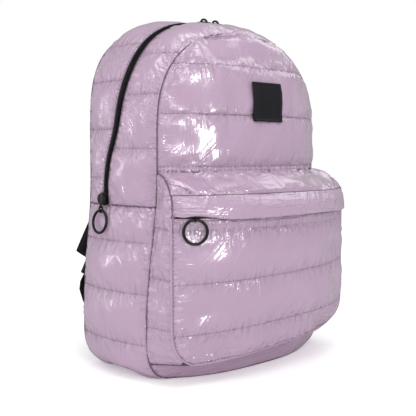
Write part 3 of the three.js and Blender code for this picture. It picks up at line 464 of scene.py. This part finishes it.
# Side panels: padded nylon with three rows of stitching, from the level seam at the zip's foot
# down to the base, sewn to the front panel and to the back panel
SIDES = (("left", -1), ("right", 1))
SIDE_AXIS = 0.1
SIDE_ROWS = (0.0431, 0.1013, 0.1594)
for side, sign in SIDES:
    panel, below = outer_side(f"side_cloth_{side}", f"side_panel_{side}", from_axis(SIDE_AXIS))
    take_padding_off(panel, below)
    refine(panel, 3)
    stitch_across(panel, level(*SIDE_ROWS))
    quilt(panel, lambda co: (co.y, co.z), 0.003, 6.0 + sign, drag=0.002)
    sheets[panel] = (f"side_panel_{side}", 0.6, True)

# Pocket front: padded nylon like the front panel's, with two rows of stitching that run a little
# uphill to the right, and gathered once more under the zip. A welt runs round its edge.
POCKET_ROWS = (0.0628, 0.1204)
POCKET_GATHER = 0.1771
POCKET_SLOPE = 0.02
pocket, below = outer_side("pocket_cloth", "pocket_front", forward)
take_padding_off(pocket, below)
refine(pocket, 3)
stitch_across(pocket, [((0, 0, height), (-POCKET_SLOPE, 0, 1)) for height in POCKET_ROWS]
              + level(POCKET_GATHER))
quilt(pocket, lambda co: (co.x, co.z), 0.003, 9.0, drag=0.0005)
sheets[pocket] = ("pocket_front", 0.6, True)

# Pocket sides: two narrow strips of padded nylon, which hold the pocket's front away from the
# front panel and are sewn to both
POCKET_SIDE_ROWS = (0.066, 0.122, 0.178)
for side, sign in SIDES:
    gusset, below = outer_side(f"pocket_side_cloth_{side}", f"pocket_side_{side}",
                               lambda _: Vector((sign, 0, 0)))
    take_padding_off(gusset, below)
    refine(gusset, 3)
    stitch_across(gusset, level(*POCKET_SIDE_ROWS))
    quilt(gusset, lambda co: (co.y, co.z), 0.0025, 12.0 + sign, edge_run=0.014)
    sheets[gusset] = (f"pocket_side_{side}", 0.6, True)

# Pocket floor: one layer of nylon without padding, sewn in between the pocket's sides and above
# the band
pocket_base, _ = outer_side("pocket_floor_cloth", "pocket_floor",
                            lambda _: Vector((0, 0, -1)))
refine(pocket_base, 2)
stitch_across(pocket_base, [])
quilt(pocket_base, lambda co: (co.x, co.y), 0.0006, 15.0)
sheets[pocket_base] = ("pocket_floor", 0.2, False)

# Pocket top: a puffed roll of padded nylon between the zip's flap and the front panel, with a
# short tuck sewn at each end, and a painted shade line in the crease of each tuck
TUCK = ((0.146, 0.2345), (0.129, 0.2215))      # its two ends, each as (x, z)
TUCK_DEPTH = 0.003
TUCK_WIDTH = 0.0022
TUCK_SHADE = 0.4                 # width of its dark line, as a share of the tuck's
pocket_top, _ = outer_side("pocket_top_cloth", "pocket_top",
                           lambda _: Vector((0, -0.6, 0.8)))
refine(pocket_top, 3)
stitch_across(pocket_top, [])
quilt(pocket_top, lambda co: (co.x, co.y - co.z), 0.001, 11.0)
tuck_start, tuck_end = (Vector(point) for point in TUCK)
tuck_run = tuck_end - tuck_start
for v in pocket_top.data.vertices:
    place = Vector((abs(v.co.x), v.co.z))
    share = (place - tuck_start).dot(tuck_run) / tuck_run.length_squared
    gap = (place - tuck_start.lerp(tuck_end, min(max(share, 0), 1))).length
    v.co -= v.normal * (TUCK_DEPTH * math.exp(-(gap / TUCK_WIDTH) ** 2))
    # painted shade: a dark line along the tuck's crease
    shade = pocket_top.data.attributes["seam_shade"].data[v.index]
    shade.value = max(shade.value, math.exp(-(gap / (TUCK_SHADE * TUCK_WIDTH)) ** 2))
sheets[pocket_top] = ("pocket_top", 0.6, True)

# Flap: a padded roll of nylon that hangs from the pocket's top over its zip, open along its lower
# edge and thinner at its two ends
flap, _ = outer_side("flap_cloth", "pocket_flap", forward, least=-0.3)
refine(flap, 3)
stitch_across(flap, [])
quilt(flap, lambda co: (co.x, co.z), 0.0, 10.0, crease=0.0006)
sheets[flap] = ("pocket_flap", 0.6, False)

# Back and base: a panel of padded woven cloth, black, that lies against the wearer's back, and a
# plain base of the same cloth, both sewn in round their edges
WEAR = 60.0                      # noise per metre of the uneven tone and gloss
WEAR_TONES = (0.8, 1.3)
WEAR_GLOSS = 0.06


def make_black(name, colour, roughness, pattern, scale, depth, coat=0.0):
    """A dark finish with a fine relief: woven, ribbed or cast"""
    material, shader = new_material(name, colour, roughness)
    shader.inputs["Coat Weight"].default_value = coat
    shader.inputs["Specular IOR Level"].default_value = 0.22
    place = add_node(material, "ShaderNodeTexCoord")
    if pattern == "woven":
        waves = [add_node(material, "ShaderNodeTexWave", [("Vector", place, "Object")],
                          [("Scale", scale)], bands_direction=way) for way in "XZ"]
        relief = add_node(material, "ShaderNodeMath", [(0, waves[0], "Fac"), (1, waves[1], "Fac")],
                          operation="MULTIPLY")
        socket = "Value"
    elif pattern == "ribbed":
        relief = add_node(material, "ShaderNodeTexWave", [("Vector", place, "Object")],
                          [("Scale", scale), ("Distortion", 0.4)], bands_direction="Z")
        socket = "Fac"
    else:
        relief = add_node(material, "ShaderNodeTexNoise", [("Vector", place, "Object")],
                          [("Scale", scale), ("Detail", 4.0)])
        socket = "Fac"
    bump = add_node(material, "ShaderNodeBump", [("Height", relief, socket)],
                    [("Strength", 0.6), ("Distance", depth)])
    wear = add_node(material, "ShaderNodeTexNoise", [("Vector", place, "Object")],
                    [("Scale", WEAR), ("Detail", 3.0)])
    tone = add_node(material, "ShaderNodeMix", [(0, wear, "Fac")], data_type="RGBA")
    for socket, share in zip((6, 7), WEAR_TONES):
        tone.inputs[socket].default_value = [c * share for c in colour[:3]] + [1]
    gloss = add_node(material, "ShaderNodeMapRange", [(0, wear, "Fac")],
                     [(3, roughness - WEAR_GLOSS), (4, roughness + WEAR_GLOSS)])
    link = material.node_tree.links.new
    link(bump.outputs["Normal"], shader.inputs["Normal"])
    link(tone.outputs[2], shader.inputs["Base Color"])
    link(gloss.outputs[0], shader.inputs["Roughness"])


make_black("black_cloth", (0.014, 0.014, 0.016, 1), 0.7, "woven", 700, 0.0003)
back, _ = outer_side("back_cloth", "back_panel", lambda _: Vector((0, 1, 0)), "black_cloth")
refine(back, 2)
stitch_across(back, [])
quilt(back, lambda co: (co.x, co.z), 0.002, 21.0)
sheets[back] = ("back_panel", 0.6, False)
base, _ = outer_side("base_cloth", "base_panel", lambda _: Vector((0, 0, -1)), "black_cloth")
refine(base, 2)
stitch_across(base, [])
quilt(base, lambda co: (co.x, co.y), 0.0, 22.0, crease=0.0)
sheets[base] = ("base_panel", 0.2, False)

# Sewing together: each sheet's edge is drawn halfway to the edge next to it, or on to the front
# panel where nothing else is near, as both are caught in one seam
REACH = 0.008
DRAWN_IN = 0.006                 # how far in from the seam a sheet gives way
OVER_ZIP = {"front_gusset_cloth": "rear_gusset_cloth", "rear_gusset_cloth": "front_gusset_cloth",
            "flap_cloth": "pocket_cloth", "pocket_cloth": "flap_cloth"}


def edge_points(sheet):
    """Where each vertex of a sheet's edge is, by its index"""
    work = bmesh.new()
    work.from_mesh(sheet.data)
    points = {v.index: v.co.copy() for v in work.verts if v.is_boundary}
    work.free()
    return points


def sew_together():
    """Moves the edges first, and then what is close to them"""
    points = {sheet: edge_points(sheet) for sheet in sheets}
    front_face = bvhtree.BVHTree.FromObject(front, bpy.context.evaluated_depsgraph_get())
    moves = {}
    for sheet, own in points.items():
        others = [co for other, row in points.items()
                  if other is not sheet and other.name != OVER_ZIP.get(sheet.name)
                  for co in row.values()]
        finder = kdtree.KDTree(len(others))
        for i, co in enumerate(others):
            finder.insert(co, i)
        finder.balance()
        moves[sheet] = {}
        for index, co in own.items():
            nearest, _, gap = finder.find(co)
            if gap < REACH:
                moves[sheet][index] = (nearest - co) * 0.5
            elif sheet is not front:
                foot, normal, _, gap = front_face.find_nearest(co)
                if foot is not None and gap < REACH:
                    moves[sheet][index] = foot - co
    for sheet, moved in moves.items():
        if not moved:
            continue
        finder = kdtree.KDTree(len(moved))
        for index in moved:
            finder.insert(sheet.data.vertices[index].co, index)
        finder.balance()
        shifts = []
        for v in sheet.data.vertices:
            _, index, gap = finder.find(v.co)
            shifts.append(moved[index] * max(1 - gap / DRAWN_IN, 0))
        for v, shift in zip(sheet.data.vertices, shifts):
            v.co += shift


for _ in range(3):
    sew_together()

# Padding: the quilted sheets are blown up a little between their stitches, with slack cloth to
# pucker beside the thread. All of them are simulated together, and the middle of each row is
# smoothed, where the wadding holds the cloth taut.
FRAMES = 20
SLACK = 0.03
PRESSURE = 3.0
FURTHEST = 0.006


def add_cloth(sheet):
    """Blown up from inside, held at its edge and stitches, with slack to pucker"""
    work_on(sheet)
    bpy.ops.object.modifier_add(type="CLOTH")
    cloth = sheet.modifiers[-1]
    cloth.point_cache.frame_start = 1
    cloth.point_cache.frame_end = FRAMES
    cloth.settings.quality = 4
    cloth.settings.mass = 0.1
    cloth.settings.bending_stiffness = 0.02
    cloth.settings.shrink_min = -SLACK
    cloth.settings.use_pressure = True
    cloth.settings.uniform_pressure_force = PRESSURE
    cloth.settings.vertex_group_mass = "held"
    cloth.settings.effector_weights.gravity = 0
    cloth.collision_settings.use_collision = False


def take_shape(sheet, start):
    """Applies the cloth, within the furthest move, and smooths the middle of each row"""
    work_on(sheet)
    bpy.ops.object.modifier_apply(modifier=sheet.modifiers[-1].name)
    for v, co in zip(sheet.data.vertices, start):
        move = v.co - co
        if move.length > FURTHEST:
            v.co = co + move * (FURTHEST / move.length)
    bpy.ops.object.modifier_add(type="SMOOTH")
    smooth = sheet.modifiers[-1]
    smooth.factor = 0.5
    smooth.iterations = 40
    smooth.vertex_group = "middle"
    bpy.ops.object.modifier_apply(modifier=smooth.name)


blown = [sheet for sheet, (_, _, is_blown) in sheets.items() if is_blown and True]
starts = [[v.co.copy() for v in sheet.data.vertices] for sheet in blown]
for sheet in blown:
    add_cloth(sheet)
for frame_number in range(1, FRAMES + 1):
    bpy.context.scene.frame_set(frame_number)
for sheet, start in zip(blown, starts):
    take_shape(sheet, start)
bpy.context.scene.frame_set(1)

# Seams: every sheet is turned in along its edge over a thin cord that closes the gap to its
# neighbour, dark with a painted shade of the seam's groove, and the pocket's front has a thicker
# welt of its own nylon there
SEAM_SIZE = 0.0007
WELT_SIZE = 0.0013
CLOTH_THICKNESS = 0.002
# painted shade: the cord's dark lilac stands for the shade in the seam's groove
new_material("seam_groove_shade", (0.13, 0.082, 0.12, 1), 0.6)


def edge_rows(sheet):
    """The sheet's edge as closed rows of (point, direction inwards)"""
    work = bmesh.new()
    work.from_mesh(sheet.data)
    left = {v for v in work.verts if v.is_boundary}
    rows = []
    while left:
        v = left.pop()
        row = [v]
        while v:
            v = next((e.other_vert(v) for e in v.link_edges
                      if e.is_boundary and e.other_vert(v) in left), None)
            if v:
                left.discard(v)
                row.append(v)
        points = []
        for v in row:
            inner = [e.other_vert(v).co - v.co for e in v.link_edges if not e.is_boundary]
            inward = sum(inner, Vector()).normalized() if inner else Vector()
            points.append((v.co.copy(), inward))
        rows.append(points)
    work.free()
    return rows


def lay_cords(name, rows, radius, material, closed=True):
    """Thin cords along rows of points, as one mesh"""
    curve = bpy.data.curves.new(name, "CURVE")
    curve.dimensions = "3D"
    curve.bevel_depth = radius
    curve.bevel_resolution = 1
    for row in rows:
        spline = curve.splines.new("POLY")
        spline.points.add(len(row) - 1)
        for point, place in zip(spline.points, row):
            point.co = (*place, 1)
        spline.use_cyclic_u = closed
    cord = bpy.data.objects.new(name, curve)
    bpy.context.scene.collection.objects.link(cord)
    work_on(cord)
    bpy.ops.object.convert(target="MESH")
    cord = bpy.context.object
    bpy.ops.object.shade_smooth()
    cord.data.materials.append(materials[material])
    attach(cord, "root")
    return cord


for sheet in sheets:
    for v in sheet.data.vertices:
        v.co.z = max(v.co.z, SEAM_SIZE)     # nothing sags through the floor
edges = {sheet: edge_rows(sheet) for sheet in sheets}
surfaces = {sheet: bvhtree.BVHTree.FromPolygons(
    [v.co.copy() for v in sheet.data.vertices],
    [tuple(p.vertices) for p in sheet.data.polygons]) for sheet in sheets}
seam_rows = [[point for point, _ in row] for rows in edges.values() for row in rows]
seam_cord = lay_cords("seam_shade_cord", seam_rows, SEAM_SIZE, "seam_groove_shade")
welt = lay_cords("pocket_welt", [[point for point, _ in row] for row in edges[pocket]],
                 WELT_SIZE, "lilac_nylon")


def give_thickness(sheet, node, thickness):
    """Gives a sheet its thickness, inwards, and puts it in its node's place"""
    work_on(sheet)
    bpy.ops.object.modifier_add(type="SOLIDIFY")
    wall = sheet.modifiers[-1]
    wall.thickness = thickness
    wall.offset = -1
    bpy.ops.object.modifier_apply(modifier=wall.name)
    for v in sheet.data.vertices:
        v.co.z = max(v.co.z, 0)             # nor does its wall
    bpy.ops.object.shade_smooth()
    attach(sheet, "root")
    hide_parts(node)


for sheet, (node, fill, _) in sheets.items():
    give_thickness(sheet, node,
                   CLOTH_THICKNESS)

# Sewing thread: running stitches of lilac thread, sewn by machine through cloth and padding, along
# every row and beside the seams. The thread is painted darker than the cloth, for the shade in its
# stitch holes
STITCH_PITCH = 0.0046
STITCH_SIZE = (0.0015, 0.00062, 0.0005)
ROW_BREAK = 0.02                 # a row of stitches stops at a longer step than this
SAME_PLACE = 1e-7
OUTSIDE = 0.5                    # where the lines that find the cloth start from
HALF_WIDTH = 0.15
HALF_DEPTH = 0.07
POCKET_DEPTHS = (-0.11, -0.05)
BESIDE_SEAM = 0.0022
BESIDE_LEVEL_SEAM = 0.0024
BESIDE_WELT = 0.0026
SECOND_ROW = 0.004               # the lowest row of the front panel is sewn twice, this far apart
# painted shade: the thread is darker than the cloth for the shade of its stitch holes
new_material("lilac_thread_painted_shade", (0.26, 0.172, 0.245, 1), 0.6)


def spaced(row, pitch):
    """Points at an even pitch along a row of (point, normal), with their direction"""
    spots = []
    ahead = pitch / 2
    for (here, normal), (there, _) in zip(row, row[1:]):
        step = there - here
        if step.length > ROW_BREAK or step.length < SAME_PLACE:
            continue
        while ahead < step.length:
            spots.append((here + step * (ahead / step.length), step.normalized(), normal))
            ahead += pitch
        ahead -= step.length
    return spots


def repeat_along(name, spots, size, material, segments=6, rings=4):
    """One small form, modelled once, repeated at each spot (point, direction, normal)"""
    bpy.ops.object.select_all(action="DESELECT")
    bpy.ops.mesh.primitive_uv_sphere_add(segments=segments, ring_count=rings, radius=1)
    pattern = bpy.context.object
    corners = [Vector((v.co.z * size[0], v.co.x * size[1], v.co.y * size[2]))
               for v in pattern.data.vertices]
    faces = [tuple(p.vertices) for p in pattern.data.polygons]
    bpy.data.objects.remove(pattern)
    points, polygons = [], []
    for spot, along, up in spots:
        across = up.cross(along).normalized()
        up = along.cross(across)
        first = len(points)
        points += [spot + along * c.x + across * c.y + up * c.z for c in corners]
        polygons += [tuple(first + i for i in face) for face in faces]
    mesh = bpy.data.meshes.new(name)
    mesh.from_pydata(points, [], polygons)
    piece = bpy.data.objects.new(name, mesh)
    bpy.context.scene.collection.objects.link(piece)
    piece.data.materials.append(materials[material])
    work_on(piece)
    bpy.ops.object.shade_smooth()
    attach(piece, "root")
    return piece


def row_on(sheet, starts, towards):
    """Where rays from the starts meet a sheet"""
    row = []
    for start in starts:
        point, normal, _, _ = surfaces[sheet].ray_cast(Vector(start), Vector(towards))
        if point:
            row.append((point, normal))
    return row


def row_beside_edge(sheet, inset, wanted):
    """Rows at a distance inside the wanted stretches of a sheet's edge"""
    rows = []
    for edge in edges[sheet]:
        row = []
        for point, inward in edge + edge[:1]:
            if wanted(point, inward):
                place, normal, _, _ = surfaces[sheet].find_nearest(point + inward * inset)
                row.append((place, normal))
            elif row:
                rows.append(row)
                row = []
        if row:
            rows.append(row)
    return rows


def steps(low, high, count=160):
    """Even steps from one value to another"""
    return [low + (high - low) * i / count for i in range(count + 1)]


by_name = {sheet.name: sheet for sheet in sheets}
thread_rows = []
for height in FRONT_ROWS + (FRONT_ROWS[0] - SECOND_ROW,):
    thread_rows.append(row_on(front, [(x, -OUTSIDE, height)
                                      for x in steps(-HALF_WIDTH, HALF_WIDTH)], (0, 1, 0)))
for height in POCKET_ROWS:
    thread_rows.append(row_on(pocket, [(x, -OUTSIDE, height + POCKET_SLOPE * x)
                                       for x in steps(-HALF_WIDTH, HALF_WIDTH)], (0, 1, 0)))
for side, sign in SIDES:
    across_side = [(f"{node}_cloth", heights, (-HALF_DEPTH, HALF_DEPTH))
                   for node, heights in GUSSET_ROWS.items()]
    across_side.append((f"side_cloth_{side}", SIDE_ROWS, (-HALF_DEPTH, HALF_DEPTH)))
    across_side.append((f"pocket_side_cloth_{side}", POCKET_SIDE_ROWS, POCKET_DEPTHS))
    for name, heights, depths in across_side:
        for height in heights:
            thread_rows.append(row_on(by_name[name], [(OUTSIDE * sign, y, height)
                                                      for y in steps(*depths)], (-sign, 0, 0)))
    thread_rows += row_beside_edge(by_name[f"side_cloth_{side}"], BESIDE_LEVEL_SEAM,
                                   lambda point, inward: point.z > 0.19 and inward.z < -0.1)
thread_rows += row_beside_edge(by_name["front_gusset_cloth"], BESIDE_SEAM,
                               lambda point, inward: inward.y < -0.2)
thread_rows += row_beside_edge(by_name["rear_gusset_cloth"], BESIDE_SEAM,
                               lambda point, inward: inward.y > 0.2)
thread_rows += row_beside_edge(pocket, BESIDE_WELT, lambda point, inward: inward.z > -0.5)
stitches = [spot for row in thread_rows for spot in spaced(row, STITCH_PITCH)]
thread = repeat_along("lilac_stitches", stitches, STITCH_SIZE, "lilac_thread_painted_shade")

# Main zip: a woven black tape, sewn in between the two gussets, under two rows of moulded teeth
# that lock in its middle. The pocket's zip, which the flap hides, has the same finish.
TOOTH_PITCH = 0.0017
TOOTH_SIZE = (0.00058, 0.0013, 0.0007)
TOOTH_SIDE = 0.0009              # how far each row stands from the zip's middle
TOOTH_LIFT = 0.0003
TAPE_THICKNESS = 0.001
TAPE_SIDE = 0.3                  # least lean inwards of an edge that runs along the zip
make_black("black_zip", (0.008, 0.008, 0.009, 1), 0.6, "woven", 900, 0.0002)
tape, _ = outer_side("main_zip_tape", "main_zip", from_axis(ARCH_AXIS), "black_zip")
refine(tape, 1)
tape_face = bvhtree.BVHTree.FromObject(tape, bpy.context.evaluated_depsgraph_get())
sides = [(point, inward) for row in edge_rows(tape) for point, inward in row]
rear_side = [point for point, inward in sides if inward.y < -TAPE_SIDE]
zip_row = []
for point in sorted((point for point, inward in sides if inward.y > TAPE_SIDE),
                    key=arch_turn):
    opposite = min(rear_side, key=lambda co: (co - point).length)
    centre, normal, _, _ = tape_face.find_nearest((point + opposite) / 2)
    zip_row.append((centre, normal))
teeth = []
for side in (-1, 1):
    for centre, along, normal in spaced(zip_row, TOOTH_PITCH):
        across = normal.cross(along).normalized()
        shift = along * (side * TOOTH_PITCH / 4) + across * (side * TOOTH_SIDE)
        teeth.append((centre + shift + normal * TOOTH_LIFT, along, normal))
zip_teeth = repeat_along("main_zip_teeth", teeth, TOOTH_SIZE, "black_zip")
give_thickness(tape, "main_zip", TAPE_THICKNESS)
nodes["pocket_zip"].data.materials[0] = materials["black_zip"]

# Zip sliders, ring pulls and the link between them: cast zinc, painted black, with every edge
# broken. The sliders run on the teeth, and the link hangs the ring from the main slider's eye.
SHARP_EDGE = 35                  # degrees, past which an edge is rounded
SMOOTH_UNDER = 50
WIRE_SWELL = 0.00045             # makes up for what smoothing takes off a thin wire
make_black("black_metal", (0.006, 0.006, 0.007, 1), 0.36, "cast", 700, 0.00008, coat=0.1)


def smooth_casting(node, rounding=0.0, swollen=0.0):
    """Rounds a casting's edges, or smooths the facets of a bent wire, a little thicker"""
    piece = copy_of(node, f"{node}_casting")
    if rounding:
        bpy.ops.object.modifier_add(type="BEVEL")
        piece.modifiers[-1].width = rounding
        piece.modifiers[-1].segments = 2
        piece.modifiers[-1].angle_limit = math.radians(SHARP_EDGE)
    else:
        bpy.ops.object.modifier_add(type="SUBSURF")
        piece.modifiers[-1].levels = piece.modifiers[-1].render_levels = 2
    bpy.ops.object.modifier_apply(modifier=piece.modifiers[-1].name)
    if swollen:
        bpy.ops.object.modifier_add(type="DISPLACE")
        piece.modifiers[-1].mid_level = 0
        piece.modifiers[-1].strength = swollen
        bpy.ops.object.modifier_apply(modifier=piece.modifiers[-1].name)
    bpy.ops.object.shade_smooth_by_angle(angle=math.radians(SMOOTH_UNDER))
    piece.data.materials.clear()
    piece.data.materials.append(materials["black_metal"])
    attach(piece, "root")
    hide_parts(node)


for node in ("zip_slider", "pocket_slider"):
    smooth_casting(node, rounding=0.0003)
for node in ("crown_slider_left", "crown_slider_right"):
    smooth_casting(node, rounding=0.0002, swollen=0.0003)
for node in ("zip_link", "zip_ring", "pocket_ring"):
    smooth_casting(node, swollen=WIRE_SWELL)

# Patch: moulded black rubber with a raised border and a fine leather grain, left bare, and fixed
# flat on the front panel
PATCH_BORDER = 0.0022
PATCH_RECESS = 0.0005
PATCH_SLOPE = 0.0003             # how wide the step down inside the border is
PATCH_ROUNDING = 0.0004
make_black("black_rubber", (0.008, 0.0075, 0.0105, 1), 0.4, "cast", 520, 0.00035)
patch = copy_of("patch", "patch_plate")
bpy.ops.object.mode_set(mode="EDIT")
bpy.ops.mesh.select_all(action="SELECT")
bpy.ops.mesh.tris_convert_to_quads(face_threshold=math.pi, shape_threshold=math.pi)
work = bmesh.from_edit_mesh(patch.data)
for face in work.faces:
    face.select_set(face.normal.y < -0.7)
bmesh.update_edit_mesh(patch.data)
bpy.ops.mesh.inset(thickness=PATCH_BORDER, depth=0)
bpy.ops.mesh.inset(thickness=PATCH_SLOPE, depth=-PATCH_RECESS)
bpy.ops.object.mode_set(mode="OBJECT")
bpy.ops.object.modifier_add(type="BEVEL")
patch.modifiers[-1].width = PATCH_ROUNDING
patch.modifiers[-1].segments = 2
bpy.ops.object.modifier_apply(modifier=patch.modifiers[-1].name)
bpy.ops.object.shade_smooth_by_angle(angle=math.radians(40))
patch.data.materials.clear()
patch.data.materials.append(materials["black_rubber"])
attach(patch, "root")
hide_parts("patch")

# Shoulder straps: padded black cloth, thick in the middle and bound along both sides, with ribbed
# webbing through a moulded buckle at the foot
BINDING_SIZE = 0.0013
BINDING_INSET = 0.004
make_black("black_webbing", (0.013, 0.013, 0.014, 1), 0.65, "ribbed", 420, 0.0005)
make_black("black_plastic", (0.014, 0.014, 0.015, 1), 0.38, "cast", 900, 0.00006)
for side, _ in SIDES:
    strap = copy_of(f"shoulder_strap_{side}", f"strap_pad_{side}")
    bpy.ops.object.modifier_add(type="SUBSURF")
    strap.modifiers[-1].levels = strap.modifiers[-1].render_levels = 2
    bpy.ops.object.modifier_apply(modifier=strap.modifiers[-1].name)
    bpy.ops.object.shade_smooth()
    strap.data.materials.clear()
    strap.data.materials.append(materials["black_cloth"])
    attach(strap, "root")
    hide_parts(f"shoulder_strap_{side}")
    face, _ = outer_side("strap_face", f"shoulder_strap_{side}",
                         lambda _: Vector((0, 1, 0)), "black_cloth", least=0.6)
    refine(face, 1)
    edges[face] = edge_rows(face)
    surfaces[face] = bvhtree.BVHTree.FromObject(face, bpy.context.evaluated_depsgraph_get())
    binding = lay_cords(f"strap_binding_{side}", [[point for point, _ in row]
                                                  for row in edges[face]],
                        BINDING_SIZE, "black_webbing")
    sewn = row_beside_edge(face, BINDING_INSET, lambda point, inward: True)
    sewing = repeat_along(f"strap_stitches_{side}",
                          [spot for row in sewn for spot in spaced(row, STITCH_PITCH)],
                          STITCH_SIZE, "black_webbing")
    del edges[face], surfaces[face]
    bpy.data.objects.remove(face)
    webbing = copy_of(f"strap_webbing_{side}", f"webbing_{side}")
    bpy.ops.object.shade_smooth_by_angle(angle=math.radians(40))
    webbing.data.materials.clear()
    webbing.data.materials.append(materials["black_webbing"])
    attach(webbing, "root")
    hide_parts(f"strap_webbing_{side}")
    nodes[f"strap_buckle_{side}"].data.materials[0] = materials["black_plastic"]
